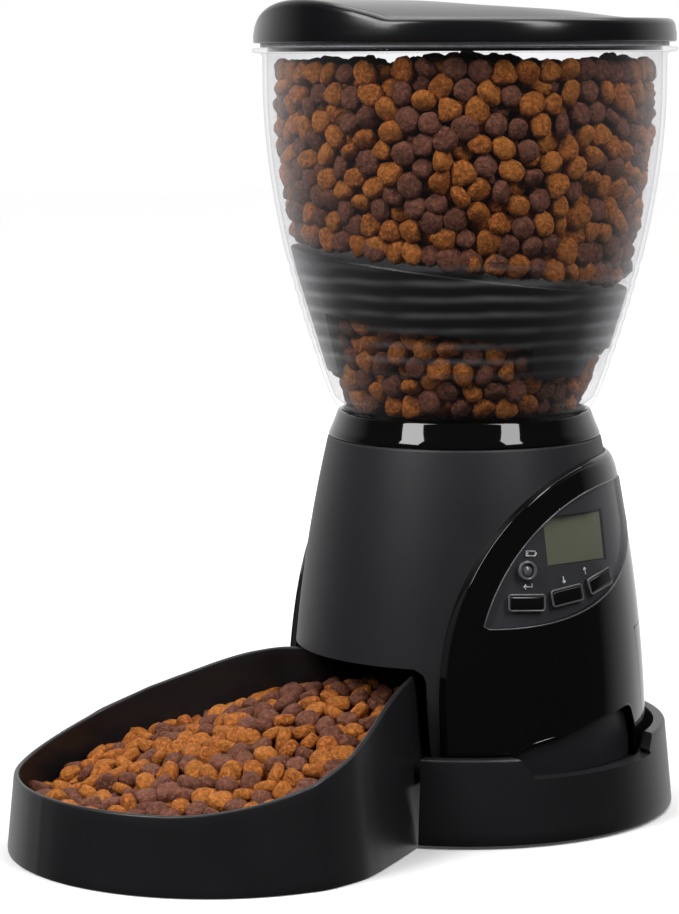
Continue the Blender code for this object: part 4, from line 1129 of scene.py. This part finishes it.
def build_keys():
    """Three glossy keys, each in a raised rim on the window."""
    half_w, half_h = BUTTON_SIZE[0] / 2, BUTTON_SIZE[1] / 2
    top = SKIN_PROUD + 0.0012
    for name, (angle, height, roll) in BUTTONS.items():
        place = outward(angle, height, roll)
        key = block(name + "_cap", (-half_w, -half_h, -0.0038), (half_w, half_h, top), place, 0.0010, 5)
        smooth(key, 50)
        finish(key, name, "gloss_black", finish_named("key_black"), name)
        corner = 0.0012
        inset = -0.0006
        line = []
        for sign_x, sign_y, start in ((1, 1, 0), (-1, 1, 90), (-1, -1, 180), (1, -1, 270)):
            for turn in spaced(start, start + 90, 4):
                bearing = math.radians(turn)
                line.append(place @ Vector((sign_x * (half_w - inset - corner) + corner * math.cos(bearing),
                                            sign_y * (half_h - inset - corner) + corner * math.sin(bearing),
                                            SKIN_PROUD + 0.0003)))
        outline = bead(name.replace("button", "rim"), line, 0.0006, finish_named("trim_grey"),
                       closed=True, sides=8)
        smooth(outline, 60)
        finish(outline, "base", "panel_grey", finish_named("trim_grey"))


def strokes(name, lines, place, width=0.00042, lift=0.0):
    """A printed symbol: thin round strokes laid on the window."""
    runs = []
    for line in lines:
        points = [place @ Vector((x, y, lift)) for x, y in line]
        runs.append(bead("stroke", points, width / 2, finish_named("printed_white"), sides=6))
    return joined(name, runs)


def build_symbols():
    """Generic symbols: battery above the lamp, return below it, arrows over the keys."""
    surface = SKIN_PROUD + 0.0003
    ink = finish_named("printed_white")
    battery = [[(-0.0026, -0.0012), (0.0022, -0.0012), (0.0022, 0.0012), (-0.0026, 0.0012),
                (-0.0026, -0.0012)],
               [(0.0028, -0.0005), (0.0028, 0.0005)],
               [(-0.0018, -0.0005), (-0.0018, 0.0005)]]
    enter = [[(0.0022, 0.0014), (0.0022, -0.0004), (-0.0022, -0.0004)],
             [(-0.0010, 0.0007), (-0.0022, -0.0004), (-0.0010, -0.0015)]]
    down = [[(0.0, 0.0017), (0.0, -0.0017)], [(-0.0009, -0.0006), (0.0, -0.0017), (0.0009, -0.0006)]]
    up = [[(x, -y) for x, y in line] for line in down]
    symbols = {
        "battery_symbol": (battery, LED_ANGLE + 1.8, LED_HEIGHT + 0.0083, -4.0),
        "enter_symbol": (enter, LED_ANGLE, LED_HEIGHT - 0.0074, -3.0),
        "down_symbol": (down, 86.5, 0.1273, 4.0),
        "up_symbol": (up, 96.0, 0.1302, 8.0),
    }
    for name, (lines, angle, height, roll) in symbols.items():
        symbol = strokes(name, lines, outward(angle, height, roll), lift=surface)
        smooth(symbol, 60)
        finish(symbol, "base", "printed_white", ink)


# ---------------------------------------------------------------- hopper, baffle and lid
def build_hopper(sizes):
    """Clear bell with a rounded shoulder, a rim flange and moulded ripples."""
    heights = spaced(0.212, HOPPER_BELLY, 96)
    shoulder = [(0.0668, 0.2092), (0.0662, 0.2080), (0.0652, 0.2068), (0.0638, 0.2058),
                (0.0620, COLLAR_TOP + GAP)]
    profile = [(0.1001, HOPPER_RIM), (0.1068, HOPPER_RIM), (0.1074, HOPPER_RIM - 0.0004),
               (0.1076, HOPPER_RIM - 0.0011), (0.1074, HOPPER_RIM - 0.0019), (0.1068, HOPPER_RIM - 0.0023),
               (0.1034, HOPPER_RIM - 0.0027), (0.1024, HOPPER_RIM - 0.0040)]
    profile += [(hopper_radius(z), z) for z in reversed(heights)] + shoulder
    profile += [(0.0620, 0.1985), (0.0590, 0.1950), (0.0560, 0.1950), (0.0570, 0.2050), (0.0630, 0.2090)]
    profile += [(hopper_radius(z) - HOPPER_WALL, z) for z in heights]
    hopper = turned("clear_hopper", profile)
    clear = finish_named("clear_plastic")
    highest = RIPPLE_FOOT + RIPPLES * sizes.ripple_spacing
    run_tree(hopper, ripple_tree(), {"Depth": sizes.ripple_height, "Spacing": sizes.ripple_spacing,
                                     "Lowest": RIPPLE_FOOT, "Highest": highest, "Material": clear})
    smooth(hopper, 40)
    finish(hopper, "hopper", "clear_plastic", clear, "hopper")


def build_baffle():
    """Black funnel in the hopper that holds the food off the impeller."""
    count = SEGMENTS

    def wall_radius(height, inset):
        return hopper_radius(height) - HOPPER_WALL - inset

    def around(height, inset=None, radius=None, legs=False):
        points = []
        for i in range(count):
            angle = 360 / count * (i + 0.5)
            z = baffle_level(angle, height)
            if legs:
                nearest = min(abs((angle - leg + 180) % 360 - 180) for leg in BAFFLE_LEGS)
                z += (0.226 - z) * ease((17.5 - nearest) / 4.0)
            reach = radius if radius is not None else wall_radius(z, inset)
            points.append((*toward(angle, reach), z))
        return points

    rings = [around(0.248, inset=0.0012, legs=True), around(0.264, inset=0.0012),
             around(0.2772, inset=0.0012), around(0.278, inset=0.0017), around(0.278, inset=0.0030),
             around(0.268, radius=0.060), around(0.258, radius=0.0340), around(0.256, radius=0.0340),
             around(0.266, radius=0.060), around(0.272, inset=0.0060),
             around(0.248, inset=0.0034, legs=True)]
    baffle = stacked("baffle", rings, closed=True)
    smooth(baffle, 35)
    finish(baffle, "hopper", "matte_black", finish_named("dark_inside"), "food_baffle")


def build_lid():
    """Round lid: vaulted top with a finger scoop, rim wall and plug ring."""
    wall = 0.0024
    count = SEGMENTS

    def level(radius, height):
        return [(radius * math.cos(2 * math.pi * i / count),
                 radius * math.sin(2 * math.pi * i / count), height)
                for i in range(count)]

    def top(radius, drop=0.0):
        return [(x, y, lid_height(x, y) - drop) for x, y, _ in level(radius, 0)]

    plug = HOPPER_RIM - 0.0018
    rings = [level(0.0975, plug), level(0.0990, plug), level(0.0995, plug + 0.0005),
             level(0.0995, LID_BOTTOM + 0.0020),
             level(LID_RADIUS - wall, LID_BOTTOM + 0.0020), level(LID_RADIUS - wall, LID_BOTTOM),
             level(LID_RADIUS - 0.0006, LID_BOTTOM), level(LID_RADIUS, LID_BOTTOM + 0.0006),
             level(LID_RADIUS, LID_BOTTOM + 0.0040), level(LID_RADIUS - 0.0005, LID_EDGE - 0.0032)]
    rings += [top(LID_RADIUS - 0.0006 - 0.0038 * (1 - math.cos(math.radians(turn))),
                  0.0042 * (1 - math.sin(math.radians(turn)))) for turn in spaced(12, 90, 6)]
    rings += [top(radius) for radius in spaced(0.0985, 0.0025, 44)]
    rings.append(top(0.0003))
    rings += [top(0.0003, wall), top(0.018, wall), top(0.045, wall), top(0.075, wall), top(0.0945, wall),
              level(0.0975, LID_BOTTOM + 0.0060)]
    lid = stacked("lid_cover", rings, closed=True)
    smooth(lid, 40)
    finish(lid, "lid", "lid_black", finish_named("lid_black"), "lid")


# ---------------------------------------------------------------- dry food
FOOD_SHAPES = {                  # corners, how pointed they are, length and thickness against width
    "triangle": (3, 0.110, 1.02, 0.56),
    "oval": (2, 0.105, 1.04, 0.56),
    "cushion": (4, 0.075, 0.98, 0.52),
    "egg": (1, 0.075, 1.04, 0.58),
}


def food_shape(name, corners, point, length, thickness):
    """One low piece of dry food, one unit wide, from a cube of 54 faces."""
    work = bmesh.new()
    bmesh.ops.create_cube(work, size=2)
    bmesh.ops.subdivide_edges(work, edges=work.edges[:], cuts=2, use_grid_fill=True)
    for vert in work.verts:
        unit = vert.co.normalized()
        turn = math.atan2(unit.y, unit.x)
        flat = math.hypot(unit.x, unit.y) ** 0.58
        reach = 0.5 * flat * (1 + point * math.cos(corners * turn))
        rise = math.copysign(abs(unit.z) ** 0.74, unit.z)
        lump = 1 + 0.08 * noise.noise(unit * 1.7 + Vector((corners * 3.1, 0, 0)))
        vert.co = lump * Vector((math.cos(turn) * reach * length, math.sin(turn) * reach,
                                 rise * 0.5 * thickness))
    obj = as_object("food_" + name, work)
    obj.data.shade_smooth()
    return obj


def settling_rounds():
    return 64


def settle_food(points, normals, confine, width, rounds):
    """Push flat pieces apart until they touch, keeping them where confine puts them."""
    wide, thin = width * 0.97, width * 0.58
    pairs = None
    for step in range(rounds):
        if step % 8 == 0:
            near = []
            for start in range(0, len(points), 400):
                block_rows = points[start:start + 400]
                gap = np.linalg.norm(block_rows[:, None, :] - points[None, :, :], axis=2)
                rows, columns = np.nonzero(gap < width * 1.5)
                rows = rows + start
                keep = rows < columns
                near.append(np.stack([rows[keep], columns[keep]], 1))
            pairs = np.concatenate(near)
        first, second = pairs[:, 0], pairs[:, 1]
        apart = points[second] - points[first]
        facing = normals[first] + normals[second]
        facing /= np.maximum(np.linalg.norm(facing, axis=1, keepdims=True), 1e-9)
        along = np.sum(apart * facing, axis=1, keepdims=True)
        across = apart - along * facing
        stretch = np.sqrt(np.sum(across ** 2, axis=1) / wide ** 2 + along[:, 0] ** 2 / thin ** 2)
        short = np.clip(1 - stretch, 0, None)[:, None]
        push = (across / wide + along * facing / thin) * short * width * 0.45
        moves = np.zeros_like(points)
        np.add.at(moves, first, -push)
        np.add.at(moves, second, push)
        size = np.linalg.norm(moves, axis=1, keepdims=True)
        moves *= np.minimum(1.0, width * 0.25 / np.maximum(size, 1e-9))
        points, normals = confine(points + moves)
    return points, normals


def turns_for(normals, rng, tilt):
    """Euler turns that lay each piece flat against its normal, give or take a tilt."""
    result = np.zeros((len(normals), 3))
    for i, normal in enumerate(normals):
        lean = Vector(normal) + Vector(rng.normal(0, tilt, 3))
        base = Vector((0, 0, 1)).rotation_difference(lean.normalized())
        result[i] = (base @ Quaternion((0, 0, 1), rng.uniform(0, 2 * math.pi))).to_euler()
    return result


def scatter_food(prefix, body, points, normals, rng, width, tilt):
    """Realised food for one body: one piece for each colour."""
    turn = turns_for(normals, rng, tilt)
    share = rng.normal(1.0, 0.075, len(points)).clip(0.82, 1.18)
    tint = rng.beta(2.2, 2.2, len(points))
    colour = rng.random(len(points)) < 0.56
    pick = rng.random(len(points))
    tree = bpy.data.node_groups.get("scatter_food") or scatter_tree()
    amber_shapes = (("triangle", 0.0, 0.42), ("oval", 0.42, 1.0))
    brown_shapes = (("cushion", 0.0, 0.5), ("egg", 0.5, 1.0))
    for finish_name, chosen, shapes in (("amber_kibble", colour, amber_shapes),
                                        ("brown_kibble", ~colour, brown_shapes)):
        parts = []
        for shape, low, high in shapes:
            mask = chosen & (pick >= low) & (pick < high)
            mesh = bpy.data.meshes.new("food_points")
            mesh.from_pydata([tuple(p) for p in points[mask]], [], [])
            for label, kind, values in (("turn", 'FLOAT_VECTOR', turn[mask]), ("share", 'FLOAT', share[mask]),
                                        ("tint", 'FLOAT', tint[mask])):
                layer = mesh.attributes.new(label, kind, 'POINT')
                layer.data.foreach_set("vector" if kind == 'FLOAT_VECTOR' else "value",
                                       np.asarray(values, np.float32).ravel())
            holder = bpy.data.objects.new("food_points", mesh)
            bpy.context.scene.collection.objects.link(holder)
            piece = food_shape(shape, *FOOD_SHAPES[shape])
            run_tree(holder, tree, {"Piece": piece, "Size": width, "Material": finish_named(finish_name)})
            bpy.data.objects.remove(piece)
            parts.append(holder)
        food = joined(prefix + "_" + finish_name, parts)
        food.data.shade_smooth()
        finish(food, body, finish_name, finish_named(finish_name))


def hopper_food_surface(x, y, level):
    """Top of the food in the hopper, gently uneven."""
    return level - 0.0040 * np.hypot(x, y) / 0.095 + 0.0030 * np.sin(x * 62 + 1.0) * np.cos(y * 57 + 0.4)


def fill_hopper(sizes):
    """Food against the hopper's wall and over its top, round a dark core that is painted shade: it stands in
    for the shaded food within.
    """
    rng = np.random.default_rng(sizes.food_seed)
    width = sizes.kibble_size
    level = sizes.food_level - width * 0.45
    layer = width * 1.75
    clearance = 0.0060

    def wall(z):
        drop = np.clip((HOPPER_BELLY - z) / 0.165, 0, None)
        return 0.1023 - 0.0363 * drop ** 1.8 - clearance

    def floor(angle):
        return 0.2835 - BAFFLE_DROP * np.cos(angle - math.radians(BAFFLE_DIP))

    def keep_upper(points):
        x, y = points[:, 0], points[:, 1]
        angle = np.arctan2(x, -y)
        radius = np.hypot(x, y)
        top = hopper_food_surface(x, y, level)
        z = np.clip(points[:, 2], floor(angle) + width * 0.25, top)
        reach = wall(z) - width * 0.30
        inner = np.where(z > top - layer * 0.62, 0.0, reach - layer)
        limited = np.clip(radius, inner, reach)
        scale = limited / np.maximum(radius, 1e-6)
        moved = np.stack([x * scale, y * scale, z], 1)
        slope = (wall(z + 0.001) - wall(z - 0.001)) / 0.002
        side = np.stack([x / np.maximum(radius, 1e-6), y / np.maximum(radius, 1e-6), -slope], 1)
        upness = np.clip(1 - (reach - limited) / (width * 0.9), 0, 1)[:, None]
        near_top = np.clip((z - (top - width * 0.9)) / (width * 0.9), 0, 1)[:, None]
        normal = side * upness + np.array([[0, 0, 1.0]]) * (near_top + 0.15) * (1.15 - upness)
        return moved, normal / np.maximum(np.linalg.norm(normal, axis=1, keepdims=True), 1e-9)

    def keep_lower(points):
        x, y = points[:, 0], points[:, 1]
        angle = np.arctan2(x, -y)
        radius = np.hypot(x, y)
        z = np.clip(points[:, 2], 0.2115, floor(angle) - 0.0335)
        reach = wall(z) - width * 0.30 - 0.0012
        limited = np.clip(radius, reach - layer, reach)
        scale = limited / np.maximum(radius, 1e-6)
        side = np.stack([x, y, -0.35 * radius], 1)
        return (np.stack([x * scale, y * scale, z], 1),
                side / np.maximum(np.linalg.norm(side, axis=1, keepdims=True), 1e-9))

    rounds = settling_rounds()
    upper_count, top_count, lower_count = 1560, 330, 520
    angles = rng.uniform(0, 2 * math.pi, upper_count + top_count + lower_count)
    heights = np.concatenate([rng.uniform(0.275, level, upper_count), np.full(top_count, level),
                              rng.uniform(0.2115, 0.250, lower_count)])
    reach = wall(heights)
    depth = rng.uniform(0, 1, len(angles))
    radius = np.where(np.arange(len(angles)) < upper_count, reach - depth * layer,
                      np.where(np.arange(len(angles)) < upper_count + top_count,
                               0.078 * np.sqrt(depth), reach - depth * layer))
    start = np.stack([radius * np.sin(angles), -radius * np.cos(angles), heights], 1)
    upper = start[:upper_count + top_count]
    lower = start[upper_count + top_count:]
    upper, upper_normals = settle_food(*keep_upper(upper), keep_upper, width, rounds)
    lower, lower_normals = settle_food(*keep_lower(lower), keep_lower, width, rounds)
    scatter_food("hopper", "hopper", np.concatenate([upper, lower]),
                 np.concatenate([upper_normals, lower_normals]), rng, width, 0.38)

    # Painted shade: a dark core inside the layer of pieces, for the shade between and behind them.
    inset = width * 1.05
    low_core = [(float(wall(z)) - inset, z) for z in (0.250, 0.236, 0.222, 0.2115)]
    low_core = [(0, 0.250)] + low_core + [(0, 0.2115)]
    high_core = [(0, level - inset)]
    high_core += [(float(wall(z)) - inset, z) for z in spaced(level - inset, 0.290, 8)] + [(0, 0.290)]
    core = joined("hopper_food_core", [turned("core", low_core, 48), turned("core", high_core, 48)])
    smooth(core, 40)
    finish(core, "hopper", "brown_kibble", finish_named("deep_kibble"))


def bowl_half_width(y, inset=0.0):
    """Half of the bowl's inner width at a distance along it, less an inset."""
    plan = bowl_plan(BOWL_WALL + 0.0045 + inset)
    half = sorted((v, u) for u, v in plan if u >= 0)
    return np.interp(y, [v for v, _ in half], [u for _, u in half])


def heap_height(x, y):
    """Surface of the food in the bowl: low in front, heaped below the tower's mouth."""
    y = np.asarray(y, float)
    wall = 0.028 + 0.022 * (y + 0.189) / 0.095
    wall = np.clip(wall, 0.024, 0.052)
    rise = np.clip((y + 0.235) / 0.150, 0, 1)
    dome = 0.004 + 0.0125 * rise * rise * (3 - 2 * rise)
    share = np.clip(np.abs(x) / (BOWL_ROUND - 0.012 - 0.045 * np.clip((y + 0.15) / 0.12, 0, 1)), 0, 1)
    return wall + dome * (1 - share ** 2)


def fill_bowl(sizes):
    """A heap of food in the bowl over a dark core that is painted shade: it stands in for the shaded food
    below.
    """
    rng = np.random.default_rng(sizes.food_seed + 1)
    width = sizes.kibble_size
    front = BOWL_ROUND_Y - BOWL_ROUND + 0.0150
    back = -0.036
    along = np.linspace(front, back, 120)
    across = bowl_half_width(along, width * 0.46)

    def keep(points):
        y = np.clip(points[:, 1], front + width * 0.3, back)
        limit = np.maximum(np.interp(y, along, across), 0.001)
        x = np.clip(points[:, 0], -limit, limit)
        top = heap_height(x, y) - width * 0.28
        z = np.clip(points[:, 2], top - width * 0.95, top)
        step = 0.002
        slope_x = (heap_height(x + step, y) - heap_height(x - step, y)) / (2 * step)
        slope_y = (heap_height(x, y + step) - heap_height(x, y - step)) / (2 * step)
        normal = np.stack([-slope_x, -slope_y, np.ones_like(x)], 1)
        return np.stack([x, y, z], 1), normal / np.linalg.norm(normal, axis=1, keepdims=True)

    count = 560
    y = rng.uniform(front, back, count * 3)
    x = rng.uniform(-0.1, 0.1, count * 3)
    inside = np.abs(x) < bowl_half_width(y)
    x, y = x[inside][:count], y[inside][:count]
    z = heap_height(x, y) - rng.uniform(0, width, len(x))
    rounds = settling_rounds()
    points, normals = settle_food(*keep(np.stack([x, y, z], 1)), keep, width, rounds)
    scatter_food("bowl", "bowl", points, normals, rng, width, 0.42)

    # Painted shade: a dark core under the pieces, for the shade between and below them.
    inset, floor, drop = 0.010, 0.006, 0.0085
    plan = [(u, min(v, back)) for u, v in bowl_plan(inset)]
    core = stacked("bowl_food_core", [[(u, v, floor) for u, v in plan],
                                      [(u, v, float(heap_height(u, v)) - drop) for u, v in plan]])
    smooth(core, 40)
    finish(core, "bowl", "brown_kibble", finish_named("deep_kibble"))


# ---------------------------------------------------------------- inner parts kept from the frame
KEPT_FINISHES = {
    "rubber_foot": "rubber", "base_screw": "steel", "circuit_board": "circuit_board", "enter_switch": "nylon",
    "down_switch": "nylon", "up_switch": "nylon", "metering_drum": "dark_inside", "chute": "dark_inside",
    "gear_case": "nylon", "motor": "steel", "battery_box": "matte_black", "battery_cell": "cell_wrap",
    "battery_spring": "steel", "battery_contact": "steel", "lid_seal": "pale_silicone", "impeller": "rubber",
    "drive_shaft": "steel", "drive_gear": "nylon", "motor_pinion": "steel", "motor_shaft": "steel",
}


def paint_kept_parts():
    """Give every CAD part that stays visible its finish."""
    for name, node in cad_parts.items():
        stem = name.rstrip("_0123456789")
        if stem not in KEPT_FINISHES:
            continue
        material = finish_named(KEPT_FINISHES[stem])
        if not node.data.materials:
            node.data.materials.append(material)
        for slot in node.material_slots:
            slot.material = material


# ---------------------------------------------------------------- camera, floor and lights
CAMERA_BEARING = 52.0
STUDIO_LIGHTS = {                # bearing, rise, distance, width, length, watts
    "left_softbox": (3.0, 41.0, 1.7, 0.55, 1.15, 26.0),
    "right_softbox": (99.0, 41.0, 1.7, 0.45, 1.15, 18.0),
    "top_softbox": (200.0, 75.0, 1.6, 1.5, 1.5, 22.0),
}


def build_stage():
    """Pale floor, soft studio lights and the camera."""
    scene = bpy.context.scene
    scene.view_settings.view_transform = 'Standard'
    size = 12.0
    bpy.ops.mesh.primitive_plane_add(size=size, location=(0, 0, 0))
    floor = bpy.context.object
    floor.name = "floor"
    material, nodes, links, shader, where = shader_material("pale_floor")
    cloud = add_noise(nodes, links, where, 3.0, 2.0)
    paper = blended(nodes, links, cloud, (0.86, 0.86, 0.86), (0.90, 0.90, 0.90))
    links.new(paper, shader.inputs["Base Color"])
    shader.inputs["Roughness"].default_value = 0.9
    reach = nodes.new('ShaderNodeVectorMath')
    reach.operation = 'LENGTH'
    links.new(where, reach.inputs[0])
    shader.inputs["Emission Color"].default_value = (1, 1, 1, 1)
    glow = ranged(nodes, links, reach.outputs["Value"], 0.05, 0.70, 0.40, 1.5)
    links.new(glow, shader.inputs["Emission Strength"])
    floor.data.materials.append(material)
    floor.visible_glossy = False
    floor.visible_diffuse = False

    build_world()
    target = Vector((0, 0, 0.22))
    for name, (bearing, rise, distance, width, length, watts) in STUDIO_LIGHTS.items():
        data = bpy.data.lights.new(name, 'AREA')
        data.shape = 'RECTANGLE'
        data.size = width
        data.size_y = length
        data.energy = watts
        lamp = bpy.data.objects.new(name, data)
        reach = distance * math.cos(math.radians(rise))
        x, y = toward(bearing, reach)
        lamp.location = (x, y, target.z + distance * math.sin(math.radians(rise)))
        lamp.rotation_euler = (target - lamp.location).to_track_quat('-Z', 'Y').to_euler()
        scene.collection.objects.link(lamp)


def build_world():
    """A room that is dim in front of the feeder and pale behind it."""
    scene = bpy.context.scene
    world = scene.world or bpy.data.worlds.new("studio")
    scene.world = world
    world.use_nodes = True
    nodes, links = world.node_tree.nodes, world.node_tree.links
    sky = nodes["Background"]
    where = nodes.new('ShaderNodeTexCoord')
    back = nodes.new('ShaderNodeVectorMath')
    back.operation = 'DOT_PRODUCT'
    behind = toward(CAMERA_BEARING + 180.0, 1.0)
    back.inputs[1].default_value = (behind[0], behind[1], 0.10)
    links.new(where.outputs["Generated"], back.inputs[0])
    share = ranged(nodes, links, back.outputs["Value"], 0.0, 1.0, 0.15, 0.75)
    room = blended(nodes, links, share, (0.050, 0.050, 0.052), (0.93, 0.93, 0.93))
    seen = nodes.new('ShaderNodeLightPath').outputs["Is Camera Ray"]
    links.new(blended(nodes, links, seen, room, (1.0, 1.0, 1.0)), sky.inputs["Color"])
    sky.inputs["Strength"].default_value = 1.0


def build_camera():
    """Camera at the front right, a little above the hopper's middle."""
    bearing = math.radians(CAMERA_BEARING)
    distance, height = 1.567, 0.388
    pan, pitch, roll = math.radians(2.35), math.radians(-7.57), math.radians(-0.27)
    right = Vector((math.cos(bearing), math.sin(bearing), 0))
    ahead = Vector((-math.sin(bearing), math.cos(bearing), 0))
    level = ahead * math.cos(pan) - right * math.sin(pan)
    look = level * math.cos(pitch) + Vector((0, 0, math.sin(pitch)))
    data = bpy.data.cameras.new("camera")
    data.lens = 120.64
    data.clip_end = 50.0
    camera = bpy.data.objects.new("camera", data)
    camera.location = Vector((0, AXIS_Y, height)) - ahead * distance
    camera.rotation_euler = (look.to_track_quat('-Z', 'Y').to_matrix().to_4x4()
                             @ Matrix.Rotation(roll, 4, 'Z')).to_euler()
    bpy.context.scene.collection.objects.link(camera)
    bpy.context.scene.camera = camera


# ---------------------------------------------------------------- operators and panel
class FEEDER_OT_platform(bpy.types.Operator):
    """Build the platform and the pull-out bowl."""

    bl_idname = "feeder.platform"
    bl_label = "Platform and Bowl"

    def execute(self, context):
        build_platform()
        build_bowl()
        return {'FINISHED'}


class FEEDER_OT_tower(bpy.types.Operator):
    """Build the tower, its glossy cover, the battery door and the collar."""

    bl_idname = "feeder.tower"
    bl_label = "Tower and Cover"

    def execute(self, context):
        build_tower()
        build_side_cover(context.scene.feeder_sizes)
        build_battery_door()
        build_collar()
        return {'FINISHED'}


class FEEDER_OT_panel_parts(bpy.types.Operator):
    """Build the control window, the display, the lamp, the keys and the symbols."""

    bl_idname = "feeder.panel_parts"
    bl_label = "Control Panel"

    def execute(self, context):
        build_window()
        build_display()
        build_keys()
        build_symbols()
        return {'FINISHED'}


class FEEDER_OT_hopper(bpy.types.Operator):
    """Build the clear hopper, its baffle and the lid."""

    bl_idname = "feeder.hopper"
    bl_label = "Hopper and Lid"

    def execute(self, context):
        build_hopper(context.scene.feeder_sizes)
        build_baffle()
        build_lid()
        return {'FINISHED'}


class FEEDER_OT_food(bpy.types.Operator):
    """Fill the hopper and the bowl with dry food."""

    bl_idname = "feeder.food"
    bl_label = "Dry Food"

    def execute(self, context):
        fill_hopper(context.scene.feeder_sizes)
        fill_bowl(context.scene.feeder_sizes)
        return {'FINISHED'}


class FEEDER_OT_inner_parts(bpy.types.Operator):
    """Paint the drive, the batteries, the feet and the other parts kept as they are."""

    bl_idname = "feeder.inner_parts"
    bl_label = "Inner Parts"

    def execute(self, context):
        paint_kept_parts()
        return {'FINISHED'}


class FEEDER_OT_stage(bpy.types.Operator):
    """Set up the floor, the lights and the camera."""

    bl_idname = "feeder.stage"
    bl_label = "Stage and Camera"

    def execute(self, context):
        build_stage()
        build_camera()
        return {'FINISHED'}


OPERATORS = (FEEDER_OT_stage, FEEDER_OT_inner_parts, FEEDER_OT_platform, FEEDER_OT_tower,
             FEEDER_OT_panel_parts, FEEDER_OT_hopper, FEEDER_OT_food)


class FEEDER_PT_sidebar(bpy.types.Panel):
    """Sizes, colours and steps of the pet feeder."""

    bl_idname = "FEEDER_PT_sidebar"
    bl_label = "Automatic Pet Feeder"
    bl_space_type = 'VIEW_3D'
    bl_region_type = 'UI'
    bl_category = "Pet Feeder"

    def draw(self, context):
        layout = self.layout
        for group in (context.scene.feeder_sizes, context.scene.feeder_colours):
            for name in group.__annotations__:
                layout.prop(group, name)
        for operator in OPERATORS:
            layout.operator(operator.bl_idname)


CLASSES = (FeederSizes, FeederColours, *OPERATORS, FEEDER_PT_sidebar)


def register():
    """Register the classes and the scene's settings."""
    for cls in CLASSES:
        bpy.utils.register_class(cls)
    bpy.types.Scene.feeder_sizes = PointerProperty(type=FeederSizes)
    bpy.types.Scene.feeder_colours = PointerProperty(type=FeederColours)


def unregister():
    """Remove the settings and the classes."""
    del bpy.types.Scene.feeder_colours
    del bpy.types.Scene.feeder_sizes
    for cls in reversed(CLASSES):
        bpy.utils.unregister_class(cls)


def main():
    """Build everything in order."""
    register()
    for operator in OPERATORS:
        group, step = operator.bl_idname.split(".")
        getattr(getattr(bpy.ops, group), step)()


if __name__ == "__main__":
    main()
